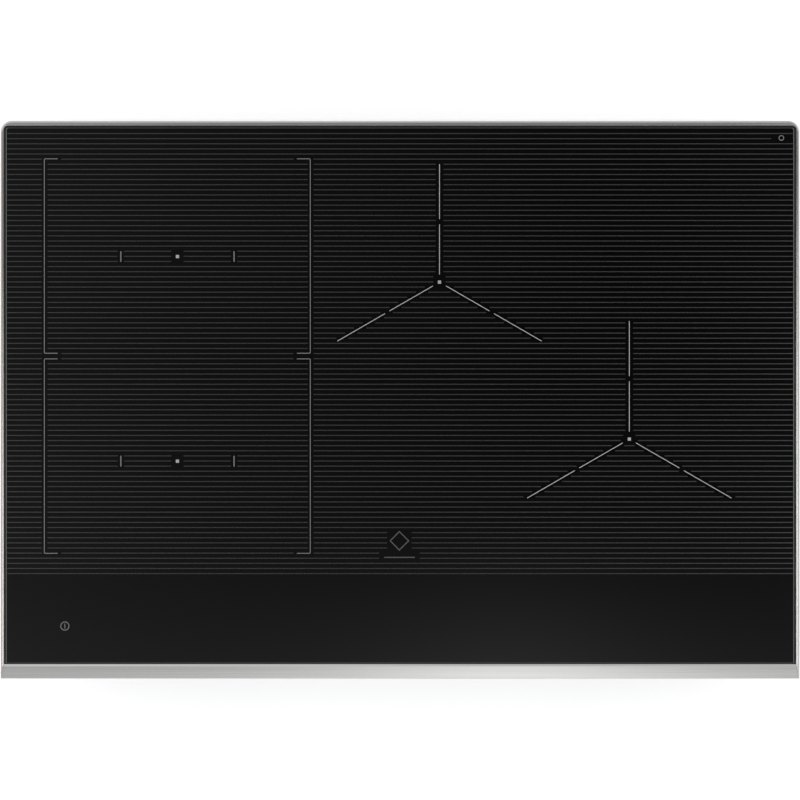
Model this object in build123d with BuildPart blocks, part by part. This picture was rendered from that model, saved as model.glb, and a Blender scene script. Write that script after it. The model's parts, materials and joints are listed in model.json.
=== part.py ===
from build123d import *
from math import cos, radians, sin, sqrt
import os

os.makedirs("parts", exist_ok=True)

# Built-in induction cooktop of the 30-inch class. Millimetres, +X to the right, +Y to the back, +Z up.
# The origin is the centre of the trim's outline, on the worktop's surface.

# Top: outline and widths seen from above
OVERALL_WIDTH = 781.0
OVERALL_DEPTH = 546.0
REAR_CORNER_RADIUS = 11.0
SIDE_TRIM_WIDTH = 3.4
REAR_TRIM_WIDTH = 5.1
FRONT_BAR_DEPTH = 14.6
FRONT_STEP_DEPTH = 2.0
SEAL_WIDTH = 1.8
FRONT_SEAL_WIDTH = 0.8
GLASS_CORNER_RADIUS = 2.6
WELL_CORNER_RADIUS = 4.2
MITRE_LAND = 1.2
MITRE_GAP = 0.12

# Top: heights above the worktop
GASKET_THICKNESS = 1.5
LEG_THICKNESS = 1.2
BED_THICKNESS = 0.6
GLASS_THICKNESS = 4.0
GLASS_BEVEL = 0.8
TRIM_PROUD = 0.5
TRIM_EDGE_RADIUS = 2.2
SEAL_BELOW_GLASS = 0.5
BAR_STEP_DROP = 1.0
BAR_FALL = 2.2
BAR_BULGE = 0.35
BAR_NOSE_DEPTH = 1.4
BAR_NOSE_HEIGHT = 3.6

# Top: flanges under the glass
TRIM_LEG_REACH = 7.0
BED_WIDTH = 7.0
GASKET_WIDTH = 12.5
GASKET_INSET = 3.0

# Burner box
BOX_WIDTH = 718.0
BOX_DEPTH = 492.0
BOX_DROP = 97.0
BOX_CORNER_RADIUS = 6.0
BEND_RADIUS = 2.0
SHEET = 1.0
SKIRT_GAP = 0.2
SKIRT_DROP = 18.0
RIB_WIDTH = 14.0
RIB_RISE = 2.0
FRONT_RIB_Y = -204.0
FRONT_RIB_LENGTH = 560.0
CENTRE_RIB_X = -56.0
CENTRE_RIB_LENGTH = 360.0

# Screws that hold the burner box to the glass frame, and the clamp brackets to the box
SCREW_RADIUS = 1.95
SCREW_HOLE_RADIUS = 2.0
SCREW_HEAD_RADIUS = 3.6
SCREW_HEAD_HEIGHT = 2.2
SCREW_LENGTH = 6.0
SCREW_SLOT_WIDTH = 0.9
SCREW_SLOT_LENGTH = 4.4
SCREW_SLOT_DEPTH = 1.0
FRAME_SCREW_Z = -9.0
FRAME_SCREW_SPACING_X = 300.0
FRAME_SCREW_SPACING_Y = 190.0

# Vents
VENT_SLOT_WIDTH = 4.0
VENT_SLOT_LENGTH = 24.0
VENT_PITCH = 10.0
VENT_COUNT = 15
VENT_FIELD_X = 215.0
SIDE_VENT_COUNT = 10
REAR_VENT_X = -30.0
REAR_VENT_COUNT = 24
SIDE_VENT_Y = 150.0
VENT_Z = -62.0
INTAKE_RADIUS = 40.0
INTAKE_PITCH = 8.0
INTAKE_ROWS = 4

# Supply connector in the rear wall
CONDUIT_X = 290.0
CONDUIT_Z = -60.0
KNOCKOUT_RADIUS = 11.1
BARREL_RADIUS = 11.0
CONDUIT_BORE_RADIUS = 8.5
COLLAR_RADIUS = 15.5
COLLAR_THICKNESS = 4.5
COLLAR_LIP = 2.5
BARREL_INSIDE = 16.0
LOCKNUT_RADIUS = 15.0
LOCKNUT_THICKNESS = 3.2
LOCKNUT_NOTCH = 3.0

# Coils: centres, and the straight half-length and end radius of each outline
OVAL_STRAIGHT = 33.0
OVAL_RADIUS = 85.0
ROUND_STRAIGHT = 0.0
ROUND_RADIUS = 105.0
COILS = {
    "left_rear": (-217.5, 140.0, OVAL_STRAIGHT, OVAL_RADIUS),
    "left_front": (-217.5, -60.0, OVAL_STRAIGHT, OVAL_RADIUS),
    "right_rear": (38.6, 115.0, ROUND_STRAIGHT, ROUND_RADIUS),
    "right_front": (224.1, -38.4, ROUND_STRAIGHT, ROUND_RADIUS),
}
MICA_GAP = 0.6
MICA_THICKNESS = 0.5
WINDING_THICKNESS = 3.2
WINDING_BACKING = 0.6
TURN_PITCH = 2.9
TURN_GROOVE = 0.35
FORMER_PLATE = 2.0
FORMER_RIM = 2.0
FORMER_HUB_RADIUS = 15.0
RING_GAP_SHARE = 0.56
RING_GAP = 4.0
FERRITE_THICKNESS = 4.0
FERRITE_WIDTH = 14.0
FERRITE_SHARE = 0.66
FERRITE_ANGLES = (-67.5, -22.5, 22.5, 67.5)
SENSOR_HOLE_RADIUS = 9.0
SENSOR_HEAD_RADIUS = 7.0
SENSOR_STEM_RADIUS = 4.0
SENSOR_HEAD_THICKNESS = 1.6
SENSOR_STEM_LENGTH = 12.0

# Coil trays and springs
TRAY_TOP_Z = -29.0
TRAY_THICKNESS = 1.5
TRAY_FRONT_Y = -166.0
TRAY_REAR_Y = 242.0
TRAY_SIDE_X = 355.0
TRAY_SPLIT_X = -82.0
TRAY_SPLIT_GAP = 2.0
TRAY_FLANGE = 12.0
LEAD_HOLE_RADIUS = 7.0
SPRING_RADIUS = 5.0
SPRING_WIRE_RADIUS = 0.6
SPRING_TURNS = 5.0
SPRING_END_GAP = 0.02
SPRING_RING_SHARE = 0.72
SPRING_ANGLE = 45.0

# Coil leads: where each one ends on its power board
LEAD_RADIUS = 2.5
LEAD_BEND = 14.0
LEAD_ENDS = {
    "left_rear": (-330.0, 60.0),
    "left_front": (-330.0, -60.0),
    "right_rear": (-8.0, -60.0),
    "right_front": (220.0, -130.0),
}

# Power boards
BOARD_THICKNESS = 1.6
STANDOFF_HEIGHT = 12.0
STANDOFF_RADIUS = 4.0
BOARD_HOLE_RADIUS = 2.1
BOARD_HOLE_INSET = 8.0
BOARD_WIDTH = 250.0
BOARD_DEPTH = 226.0
BOARD_CENTRE_Y = -36.0
POWER_SIDES = {"left": -217.0, "right": 105.0}
HEATSINK_WIDTH = 96.0
HEATSINK_LENGTH = 96.0
HEATSINK_HEIGHT = 36.0
HEATSINK_BASE = 6.0
HEATSINK_FIN = 1.6
HEATSINK_FINS = 12
HEATSINK_CENTRE_Y = 24.0
TRANSISTOR_SIZE = (5.0, 16.0, 21.0)
TRANSISTOR_PITCH = 24.0
CAPACITOR_SIZE = (26.0, 42.0, 34.0)
CAPACITOR_PITCH = 32.0
CAPACITOR_Y = -111.0
CAPACITOR_EDGE_RADIUS = 2.0
CHOKE_RADIUS = 17.0
CHOKE_TUBE_RADIUS = 8.0
CHOKE_OFFSET_X = 84.0
FILTER_WIDTH = 86.0
FILTER_DEPTH = 180.0
FILTER_CENTRE = (300.0, 20.0)
TERMINAL_CENTRE = (290.0, 176.0)
TERMINAL_SIZE = (76.0, 34.0, 24.0)
TERMINAL_WAYS = 4
TERMINAL_RIB = 4.0

# Blowers
BLOWER_Y = 165.0
BLOWER_RADIUS = 52.0
BLOWER_OUTLET_WIDTH = 50.0
BLOWER_OUTLET_Y = 86.0
BLOWER_HEIGHT = 40.0
BLOWER_WALL = 1.5
BLOWER_INLET_RADIUS = 38.0
STATOR_RADIUS = 13.0
STATOR_HEIGHT = 9.0
SHAFT_RADIUS = 1.5
SHAFT_CLEARANCE = 0.05
SHAFT_LENGTH = 22.0
IMPELLER_RADIUS = 45.0
IMPELLER_PLATE = 1.6
IMPELLER_TOP_GAP = 4.0
IMPELLER_BOTTOM_GAP = 3.5
IMPELLER_RING = 4.0
BLADE_COUNT = 30
BLADE_CHORD = 8.0
BLADE_THICKNESS = 1.0
BLADE_ANGLE = 38.0
HUB_RADIUS = 17.0
HUB_WALL = 1.6
HUB_DEPTH = 15.0
BOSS_RADIUS = 4.0
BOSS_GAP = 0.5

# Controls under the front band of the glass
CONTROL_WIDTH = 690.0
CONTROL_FRONT_Y = -239.0
CONTROL_REAR_Y = -178.0
CONTROL_PAD_HEIGHT = 5.0
CONTROL_DEPTH = 14.0
CONTROL_WALL = 2.0
PAD_RADIUS = 5.0
PAD_BORE_RADIUS = 3.4
PAD_PITCH = 54.5
PAD_COUNT = 13
PAD_Y = -221.5

# Hold-down clamps
CLAMP_Y = 60.0
CLAMP_WIDTH = 40.0
CLAMP_THICKNESS = 2.5
CLAMP_REACH = 29.5
CLAMP_ARM_Z = -53.5
CLAMP_LEG = 34.0
CLAMP_LIP = 7.0
CLAMP_BEND_RADIUS = 3.0
CLAMP_SCREW_OFFSET = 19.0
CLAMP_SCREW_SPACING = 22.0
CLAMP_SCREW_Z = -74.0
THREAD_RADIUS = 3.175
THREAD_CLEARANCE = 0.05
WELD_NUT_RADIUS = 7.0
WELD_NUT_HEIGHT = 5.0
FOOT_RADIUS = 9.0
FOOT_TOP_Z = -45.0
FOOT_THICKNESS = 5.5
FOOT_SOCKET_DEPTH = 3.2
TIP_RADIUS = 2.0
TIP_LENGTH = 3.0
SHOULDER_GAP = 0.1
CLAMP_HEAD_RADIUS = 6.4
CLAMP_HEAD_HEIGHT = 4.2
CLAMP_HEAD_BOTTOM_Z = -94.5

# Worked out from the sizes above
HALF_WIDTH = OVERALL_WIDTH / 2
HALF_DEPTH = OVERALL_DEPTH / 2
LEG_TOP = GASKET_THICKNESS + LEG_THICKNESS
GLASS_BOTTOM = LEG_TOP + BED_THICKNESS
GLASS_TOP = GLASS_BOTTOM + GLASS_THICKNESS
TRIM_TOP = GLASS_TOP + TRIM_PROUD
WELL_HALF = HALF_WIDTH - SIDE_TRIM_WIDTH
WELL_REAR = HALF_DEPTH - REAR_TRIM_WIDTH
WELL_FRONT = FRONT_BAR_DEPTH - HALF_DEPTH
GLASS_HALF = WELL_HALF - SEAL_WIDTH
GLASS_REAR = WELL_REAR - SEAL_WIDTH
GLASS_FRONT = WELL_FRONT + FRONT_SEAL_WIDTH
LEG_HALF = WELL_HALF - TRIM_LEG_REACH
LEG_REAR = WELL_REAR - TRIM_LEG_REACH
LEG_FRONT = WELL_FRONT + TRIM_LEG_REACH
BAR_REAR = WELL_FRONT - FRONT_STEP_DEPTH
BOX_BOTTOM = -BOX_DROP
BOX_FLOOR = BOX_BOTTOM + SHEET
BOX_HALF_WIDTH = BOX_WIDTH / 2
BOX_HALF_DEPTH = BOX_DEPTH / 2
MICA_BOTTOM = GLASS_BOTTOM - MICA_GAP - MICA_THICKNESS
WINDING_BOTTOM = MICA_BOTTOM - WINDING_THICKNESS
FORMER_BOTTOM = WINDING_BOTTOM - FORMER_PLATE
FERRITE_BOTTOM = FORMER_BOTTOM - FERRITE_THICKNESS
BOARD_BOTTOM = BOX_FLOOR + STANDOFF_HEIGHT
BOARD_TOP = BOARD_BOTTOM + BOARD_THICKNESS
CONTROL_BOARD_TOP = GLASS_BOTTOM - CONTROL_PAD_HEIGHT
CONTROL_BOARD_BOTTOM = CONTROL_BOARD_TOP - BOARD_THICKNESS
CONTROL_CENTRE_Y = (CONTROL_FRONT_Y + CONTROL_REAR_Y) / 2
BLOWER_TOP = BOX_FLOOR + BLOWER_HEIGHT
FOOT_BOTTOM_Z = FOOT_TOP_Z - FOOT_THICKNESS


def keep(part, node):
    """Name a finished piece and write it to its file."""
    part.label = node
    export_step(part, f"parts/{node}.step")


def rear_rounded(half_width, front, rear, radius):
    """A rectangle from front to rear with its two rear corners rounded."""
    with BuildSketch(mode=Mode.PRIVATE) as shape:
        with Locations((0, (front + rear) / 2)):
            Rectangle(2 * half_width, rear - front)
        fillet(shape.vertices().group_by(Axis.Y)[-1], radius)
    return shape.sketch


def draw_bar_crown():
    """The front bar's shown surface: a slightly crowned face, then the nose. Returns its two ends."""
    face_front = (-HALF_DEPTH + BAR_NOSE_DEPTH, TRIM_TOP - BAR_FALL)
    face_middle = ((BAR_REAR + face_front[0]) / 2, TRIM_TOP - BAR_FALL / 2 + BAR_BULGE)
    face = ThreePointArc((BAR_REAR, TRIM_TOP), face_middle, face_front)
    nose = TangentArc(face @ 1, (-HALF_DEPTH, BAR_NOSE_HEIGHT), tangent=face % 1)
    return face @ 0, nose @ 1


def mitre_outline(gap):
    """The front bar seen from above, drawn in by a gap at each mitre."""
    with BuildSketch(mode=Mode.PRIVATE) as shape:
        with BuildLine():
            rear_x = WELL_HALF - gap
            front_x = HALF_WIDTH - MITRE_LAND - gap
            Polyline(
                (-rear_x, WELL_FRONT),
                (rear_x, WELL_FRONT),
                (front_x, -HALF_DEPTH),
                (-front_x, -HALF_DEPTH),
                close=True,
            )
        make_face()
    return shape.sketch


# ---------------------------------------------------------------- the top

with BuildPart() as cooktop_glass:
    with BuildSketch(Plane.XY.offset(GLASS_BOTTOM)):
        add(rear_rounded(GLASS_HALF, GLASS_FRONT, GLASS_REAR, GLASS_CORNER_RADIUS))
    extrude(amount=GLASS_THICKNESS)
    chamfer(cooktop_glass.faces().sort_by(Axis.Z)[-1].edges(), GLASS_BEVEL)
keep(cooktop_glass.part, "cooktop_glass")

with BuildPart() as trim_rear_sides:
    with BuildSketch(Plane.XY.offset(GASKET_THICKNESS)):
        add(rear_rounded(HALF_WIDTH, -HALF_DEPTH, HALF_DEPTH, REAR_CORNER_RADIUS))
    extrude(amount=TRIM_TOP - GASKET_THICKNESS)
    crown_edges = trim_rear_sides.faces().sort_by(Axis.Z)[-1].edges().sort_by(Axis.Y)[1:]
    fillet(crown_edges, TRIM_EDGE_RADIUS)
    with BuildSketch(Plane.XY.offset(LEG_TOP)):
        add(rear_rounded(WELL_HALF, -OVERALL_DEPTH, WELL_REAR, WELL_CORNER_RADIUS))
    extrude(amount=TRIM_TOP, mode=Mode.SUBTRACT)
    with BuildSketch(Plane.XY.offset(GASKET_THICKNESS)):
        add(rear_rounded(LEG_HALF, -OVERALL_DEPTH, LEG_REAR, WELL_CORNER_RADIUS))
    extrude(amount=LEG_THICKNESS, mode=Mode.SUBTRACT)
    with BuildSketch(Plane.XY.offset(GASKET_THICKNESS)):
        add(mitre_outline(0))
    extrude(amount=TRIM_TOP, mode=Mode.SUBTRACT)
    # The side strips fall with the front bar.
    with BuildSketch(Plane.YZ):
        with BuildLine():
            crown_start, crown_end = draw_bar_crown()
            Polyline(
                crown_end,
                (-OVERALL_DEPTH, BAR_NOSE_HEIGHT),
                (-OVERALL_DEPTH, 2 * TRIM_TOP),
                (BAR_REAR, 2 * TRIM_TOP),
                crown_start,
            )
        make_face()
    extrude(amount=OVERALL_WIDTH, both=True, mode=Mode.SUBTRACT)
keep(trim_rear_sides.part, "trim_rear_sides")

with BuildPart() as trim_front:
    with BuildSketch(Plane.YZ):
        with BuildLine():
            crown_start, crown_end = draw_bar_crown()
            Polyline(
                crown_end,
                (-HALF_DEPTH, GASKET_THICKNESS),
                (WELL_FRONT, GASKET_THICKNESS),
                (WELL_FRONT, TRIM_TOP - BAR_STEP_DROP),
                crown_start,
            )
        make_face()
    extrude(amount=HALF_WIDTH, both=True)
    with BuildSketch(Plane.XY):
        add(mitre_outline(MITRE_GAP))
    extrude(amount=2 * TRIM_TOP, mode=Mode.INTERSECT)
    with BuildSketch(Plane.XY.offset(GASKET_THICKNESS)):
        with Locations((0, WELL_FRONT)):
            Rectangle(2 * LEG_HALF, TRIM_LEG_REACH, align=(Align.CENTER, Align.MIN))
    extrude(amount=LEG_THICKNESS)
keep(trim_front.part, "trim_front")

with BuildPart() as glass_seal:
    with BuildSketch(Plane.XY.offset(LEG_TOP)):
        add(rear_rounded(WELL_HALF, WELL_FRONT, WELL_REAR, WELL_CORNER_RADIUS))
    extrude(amount=GLASS_TOP - SEAL_BELOW_GLASS - LEG_TOP)
    with BuildSketch(Plane.XY.offset(GLASS_BOTTOM)):
        add(rear_rounded(GLASS_HALF, GLASS_FRONT, GLASS_REAR, GLASS_CORNER_RADIUS))
    extrude(amount=GLASS_THICKNESS, mode=Mode.SUBTRACT)
    with BuildSketch(Plane.XY.offset(LEG_TOP)):
        with Locations((0, (GLASS_FRONT + GLASS_REAR) / 2)):
            RectangleRounded(
                2 * (GLASS_HALF - BED_WIDTH), GLASS_REAR - GLASS_FRONT - 2 * BED_WIDTH, GLASS_CORNER_RADIUS
            )
    extrude(amount=BED_THICKNESS, mode=Mode.SUBTRACT)
keep(glass_seal.part, "glass_seal")

with BuildPart() as worktop_gasket:
    with BuildSketch(Plane.XY):
        RectangleRounded(
            OVERALL_WIDTH - 2 * GASKET_INSET,
            OVERALL_DEPTH - 2 * GASKET_INSET,
            REAR_CORNER_RADIUS - GASKET_INSET,
        )
        RectangleRounded(
            OVERALL_WIDTH - 2 * (GASKET_INSET + GASKET_WIDTH),
            OVERALL_DEPTH - 2 * (GASKET_INSET + GASKET_WIDTH),
            BOX_CORNER_RADIUS,
            mode=Mode.SUBTRACT,
        )
    extrude(amount=GASKET_THICKNESS)
keep(worktop_gasket.part, "worktop_gasket")

# ---------------------------------------------------------------- the case

SKIRT_WIDTH = BOX_WIDTH - 2 * (SHEET + SKIRT_GAP)
SKIRT_DEPTH = BOX_DEPTH - 2 * (SHEET + SKIRT_GAP)
SKIRT_RADIUS = BOX_CORNER_RADIUS - SHEET - SKIRT_GAP

# One plane for each frame screw, on the burner box's outer face and facing out
frame_screw_planes = []
for side in (-1, 1):
    for step in (-1, 0, 1):
        frame_screw_planes.append(
            Plane(
                origin=(step * FRAME_SCREW_SPACING_X, side * BOX_HALF_DEPTH, FRAME_SCREW_Z),
                x_dir=(1, 0, 0),
                z_dir=(0, side, 0),
            )
        )
        frame_screw_planes.append(
            Plane(
                origin=(side * BOX_HALF_WIDTH, step * FRAME_SCREW_SPACING_Y, FRAME_SCREW_Z),
                x_dir=(0, 1, 0),
                z_dir=(side, 0, 0),
            )
        )

# And one for each clamp screw, on the outer face of the clamp brackets
clamp_screw_planes = []
for side in (-1, 1):
    for step in (-1, 1):
        clamp_screw_planes.append(
            Plane(
                origin=(
                    side * (BOX_HALF_WIDTH + CLAMP_THICKNESS),
                    CLAMP_Y + step * CLAMP_SCREW_SPACING / 2,
                    CLAMP_SCREW_Z,
                ),
                x_dir=(0, 1, 0),
                z_dir=(side, 0, 0),
            )
        )

with BuildPart() as glass_frame:
    with BuildSketch(Plane.XY.offset(GASKET_THICKNESS)):
        add(rear_rounded(LEG_HALF, LEG_FRONT, LEG_REAR, WELL_CORNER_RADIUS))
    extrude(amount=LEG_THICKNESS)
    with BuildSketch(Plane.XY.offset(LEG_TOP)):
        RectangleRounded(SKIRT_WIDTH, SKIRT_DEPTH, SKIRT_RADIUS)
    extrude(amount=-SKIRT_DROP - LEG_THICKNESS)
    with BuildSketch(Plane.XY.offset(LEG_TOP)):
        RectangleRounded(SKIRT_WIDTH - 2 * SHEET, SKIRT_DEPTH - 2 * SHEET, SKIRT_RADIUS - SHEET)
    extrude(amount=-SKIRT_DROP - 2 * LEG_THICKNESS, mode=Mode.SUBTRACT)
    with BuildSketch(*frame_screw_planes):
        Circle(SCREW_HOLE_RADIUS)
    extrude(amount=-SCREW_LENGTH, mode=Mode.SUBTRACT)
keep(glass_frame.part, "glass_frame")

rear_wall = Plane(origin=(0, BOX_HALF_DEPTH, 0), x_dir=(1, 0, 0), z_dir=(0, 1, 0))

with BuildPart() as burner_box:
    with BuildSketch(Plane.XY.offset(BOX_BOTTOM)):
        RectangleRounded(BOX_WIDTH, BOX_DEPTH, BOX_CORNER_RADIUS)
    extrude(amount=GASKET_THICKNESS - BOX_BOTTOM)
    fillet(burner_box.faces().sort_by(Axis.Z)[0].edges(), BEND_RADIUS)
    with BuildSketch(Plane.XY.offset(BOX_FLOOR)):
        RectangleRounded(BOX_WIDTH - 2 * SHEET, BOX_DEPTH - 2 * SHEET, BOX_CORNER_RADIUS - SHEET)
    extrude(amount=BOX_DROP + TRIM_TOP, mode=Mode.SUBTRACT)
    # Two pressed ribs stiffen the floor, one along the front and one between the power boards.
    with BuildSketch(Plane.XY.offset(BOX_FLOOR)):
        with Locations((0, FRONT_RIB_Y)):
            SlotOverall(FRONT_RIB_LENGTH, RIB_WIDTH)
        with Locations((CENTRE_RIB_X, 0)):
            SlotOverall(CENTRE_RIB_LENGTH, RIB_WIDTH, rotation=90)
    extrude(amount=RIB_RISE)
    with BuildSketch(Plane.XY.offset(BOX_BOTTOM)):
        with Locations((0, FRONT_RIB_Y)):
            SlotOverall(FRONT_RIB_LENGTH - 2 * SHEET, RIB_WIDTH - 2 * SHEET)
        with Locations((CENTRE_RIB_X, 0)):
            SlotOverall(CENTRE_RIB_LENGTH - 2 * SHEET, RIB_WIDTH - 2 * SHEET, rotation=90)
    extrude(amount=RIB_RISE, mode=Mode.SUBTRACT)
    # Air comes in under each blower.
    with BuildSketch(Plane.XY.offset(BOX_BOTTOM)):
        for blower_x in POWER_SIDES.values():
            for row in range(-INTAKE_ROWS, INTAKE_ROWS + 1):
                span = 2 * sqrt(INTAKE_RADIUS**2 - (row * INTAKE_PITCH) ** 2)
                with Locations((blower_x, BLOWER_Y + row * INTAKE_PITCH)):
                    SlotOverall(span, VENT_SLOT_WIDTH)
    extrude(amount=SHEET, mode=Mode.SUBTRACT)
    # Warm air leaves through slots in the front wall, the rear wall and both side walls.
    with BuildSketch(Plane.XZ.offset(BOX_HALF_DEPTH)):
        for field_x in (-VENT_FIELD_X, VENT_FIELD_X):
            with Locations((field_x, VENT_Z)):
                with GridLocations(VENT_PITCH, 0, VENT_COUNT, 1):
                    SlotOverall(VENT_SLOT_LENGTH, VENT_SLOT_WIDTH, rotation=90)
    extrude(amount=-SHEET, mode=Mode.SUBTRACT)
    with BuildSketch(Plane.XZ.offset(-BOX_HALF_DEPTH)):
        with Locations((REAR_VENT_X, VENT_Z)):
            with GridLocations(VENT_PITCH, 0, REAR_VENT_COUNT, 1):
                SlotOverall(VENT_SLOT_LENGTH, VENT_SLOT_WIDTH, rotation=90)
    extrude(amount=SHEET, mode=Mode.SUBTRACT)
    with BuildSketch(Plane.YZ):
        with Locations((-SIDE_VENT_Y, VENT_Z)):
            with GridLocations(VENT_PITCH, 0, SIDE_VENT_COUNT, 1):
                SlotOverall(VENT_SLOT_LENGTH, VENT_SLOT_WIDTH, rotation=90)
    extrude(amount=BOX_WIDTH, both=True, mode=Mode.SUBTRACT)
    with BuildSketch(rear_wall):
        with Locations((CONDUIT_X, -CONDUIT_Z)):
            Circle(KNOCKOUT_RADIUS)
    extrude(amount=-SHEET, mode=Mode.SUBTRACT)
    with BuildSketch(*frame_screw_planes):
        Circle(SCREW_HOLE_RADIUS)
    extrude(amount=-SHEET, mode=Mode.SUBTRACT)
    with BuildSketch(*[plane.offset(-CLAMP_THICKNESS) for plane in clamp_screw_planes]):
        Circle(SCREW_HOLE_RADIUS)
    extrude(amount=-SHEET, mode=Mode.SUBTRACT)
keep(burner_box.part, "burner_box")

screw_planes = frame_screw_planes + clamp_screw_planes
with BuildPart() as case_screws:
    with BuildSketch(*screw_planes):
        Circle(SCREW_HEAD_RADIUS)
    extrude(amount=SCREW_HEAD_HEIGHT)
    with BuildSketch(*screw_planes):
        Circle(SCREW_RADIUS)
    extrude(amount=-SCREW_LENGTH)
    with BuildSketch(*[plane.offset(SCREW_HEAD_HEIGHT) for plane in screw_planes]):
        Rectangle(SCREW_SLOT_LENGTH, SCREW_SLOT_WIDTH)
        Rectangle(SCREW_SLOT_WIDTH, SCREW_SLOT_LENGTH)
    extrude(amount=-SCREW_SLOT_DEPTH, mode=Mode.SUBTRACT)
keep(case_screws.part, "case_screws")

conduit_plane = Plane(origin=(CONDUIT_X, BOX_HALF_DEPTH, CONDUIT_Z), x_dir=(1, 0, 0), z_dir=(0, 1, 0))
with BuildPart() as conduit_connector:
    with BuildSketch(conduit_plane):
        RegularPolygon(COLLAR_RADIUS, 6)
    extrude(amount=COLLAR_THICKNESS)
    with BuildSketch(conduit_plane.offset(COLLAR_THICKNESS)):
        Circle(BARREL_RADIUS)
    extrude(amount=COLLAR_LIP)
    with BuildSketch(conduit_plane):
        Circle(BARREL_RADIUS)
    extrude(amount=-SHEET - BARREL_INSIDE)
    with BuildSketch(conduit_plane.offset(COLLAR_THICKNESS + COLLAR_LIP)):
        Circle(CONDUIT_BORE_RADIUS)
    extrude(amount=-COLLAR_THICKNESS - COLLAR_LIP - SHEET - BARREL_INSIDE, mode=Mode.SUBTRACT)
keep(conduit_connector.part, "conduit_connector")

with BuildPart() as conduit_locknut:
    with BuildSketch(conduit_plane.offset(-SHEET)):
        Circle(LOCKNUT_RADIUS)
        Circle(KNOCKOUT_RADIUS, mode=Mode.SUBTRACT)
        with PolarLocations(LOCKNUT_RADIUS, 6):
            Rectangle(LOCKNUT_NOTCH, LOCKNUT_NOTCH, mode=Mode.SUBTRACT)
    extrude(amount=-LOCKNUT_THICKNESS)
keep(conduit_locknut.part, "conduit_locknut")

# ---------------------------------------------------------------- coils


def coil_loop(straight, radius):
    """The outline of a coil: a circle, or two half circles joined by straights along X."""
    with BuildSketch(mode=Mode.PRIVATE) as shape:
        if straight:
            SlotCenterToCenter(2 * straight, 2 * radius)
        else:
            Circle(radius)
    return shape.sketch


def ring_outlines(straight, rings):
    """The flat rings of a coil's shape between each outer and inner radius, widest first."""
    with BuildSketch(mode=Mode.PRIVATE) as shape:
        for outer, inner in rings:
            add(coil_loop(straight, outer))
            add(coil_loop(straight, inner), mode=Mode.SUBTRACT)
    return shape.sketch


def turn_grooves(windings):
    """The outer and inner radius of the groove between each two turns, widest first."""
    grooves = []
    for outer, inner in windings:
        turns = int((outer - inner) / TURN_PITCH)
        for turn in range(turns - 1, 0, -1):
            middle = inner + turn * (outer - inner) / turns
            grooves.append((middle + TURN_GROOVE / 2, middle - TURN_GROOVE / 2))
    return grooves


def spring_places(centre, straight, radius):
    """Four places round a coil, where its springs stand."""
    reach = SPRING_RING_SHARE * radius
    reach_x = straight + reach * cos(radians(SPRING_ANGLE))
    reach_y = reach * sin(radians(SPRING_ANGLE))
    return [
        (centre[0] + across * reach_x, centre[1] + along * reach_y)
        for across in (-1, 1)
        for along in (-1, 1)
    ]


all_spring_places = []
for coil_name, (coil_x, coil_y, straight, radius) in COILS.items():
    centre = (coil_x, coil_y)
    gap_radius = RING_GAP_SHARE * radius
    windings = [
        (radius - FORMER_RIM, gap_radius + RING_GAP / 2),
        (gap_radius - RING_GAP / 2, FORMER_HUB_RADIUS + FORMER_RIM),
    ]
    all_spring_places += spring_places(centre, straight, radius)

    with BuildPart() as coil_former:
        with BuildSketch(Plane.XY.offset(FORMER_BOTTOM)):
            with Locations(centre):
                add(coil_loop(straight, radius))
                Circle(SENSOR_HOLE_RADIUS, mode=Mode.SUBTRACT)
        extrude(amount=FORMER_PLATE + WINDING_THICKNESS)
        with BuildSketch(Plane.XY.offset(WINDING_BOTTOM)):
            with Locations(centre):
                add(ring_outlines(straight, windings))
        extrude(amount=WINDING_THICKNESS, mode=Mode.SUBTRACT)
    keep(coil_former.part, f"{coil_name}_coil_former")

    with BuildPart() as coil_winding:
        with BuildSketch(Plane.XY.offset(WINDING_BOTTOM)):
            with Locations(centre):
                add(ring_outlines(straight, windings))
        extrude(amount=WINDING_THICKNESS)
        with BuildSketch(Plane.XY.offset(WINDING_BOTTOM + WINDING_BACKING)):
            with Locations(centre):
                add(ring_outlines(straight, turn_grooves(windings)))
        extrude(amount=WINDING_THICKNESS, mode=Mode.SUBTRACT)
    keep(coil_winding.part, f"{coil_name}_coil_winding")

    ferrite_length = FERRITE_SHARE * radius
    with BuildPart() as ferrites:
        with BuildSketch(Plane.XY.offset(FERRITE_BOTTOM)):
            for across in (-1, 1):
                for angle in FERRITE_ANGLES:
                    middle = FORMER_HUB_RADIUS + ferrite_length / 2 + FERRITE_WIDTH / 2
                    place = (
                        coil_x + across * (straight + middle * cos(radians(angle))),
                        coil_y + middle * sin(radians(angle)),
                    )
                    with Locations(place):
                        Rectangle(ferrite_length, FERRITE_WIDTH, rotation=across * angle)
        extrude(amount=FERRITE_THICKNESS)
    keep(ferrites.part, f"{coil_name}_ferrites")

    with BuildPart() as mica_sheet:
        with BuildSketch(Plane.XY.offset(MICA_BOTTOM)):
            with Locations(centre):
                add(coil_loop(straight, radius))
                Circle(SENSOR_HOLE_RADIUS, mode=Mode.SUBTRACT)
        extrude(amount=MICA_THICKNESS)
    keep(mica_sheet.part, f"{coil_name}_mica_sheet")

    with BuildPart() as sensor:
        with BuildSketch(Plane.XY.offset(GLASS_BOTTOM)):
            with Locations(centre):
                Circle(SENSOR_HEAD_RADIUS)
        extrude(amount=-SENSOR_HEAD_THICKNESS)
        with BuildSketch(Plane.XY.offset(GLASS_BOTTOM)):
            with Locations(centre):
                Circle(SENSOR_STEM_RADIUS)
        extrude(amount=-SENSOR_STEM_LENGTH)
    keep(sensor.part, f"{coil_name}_sensor")

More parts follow.
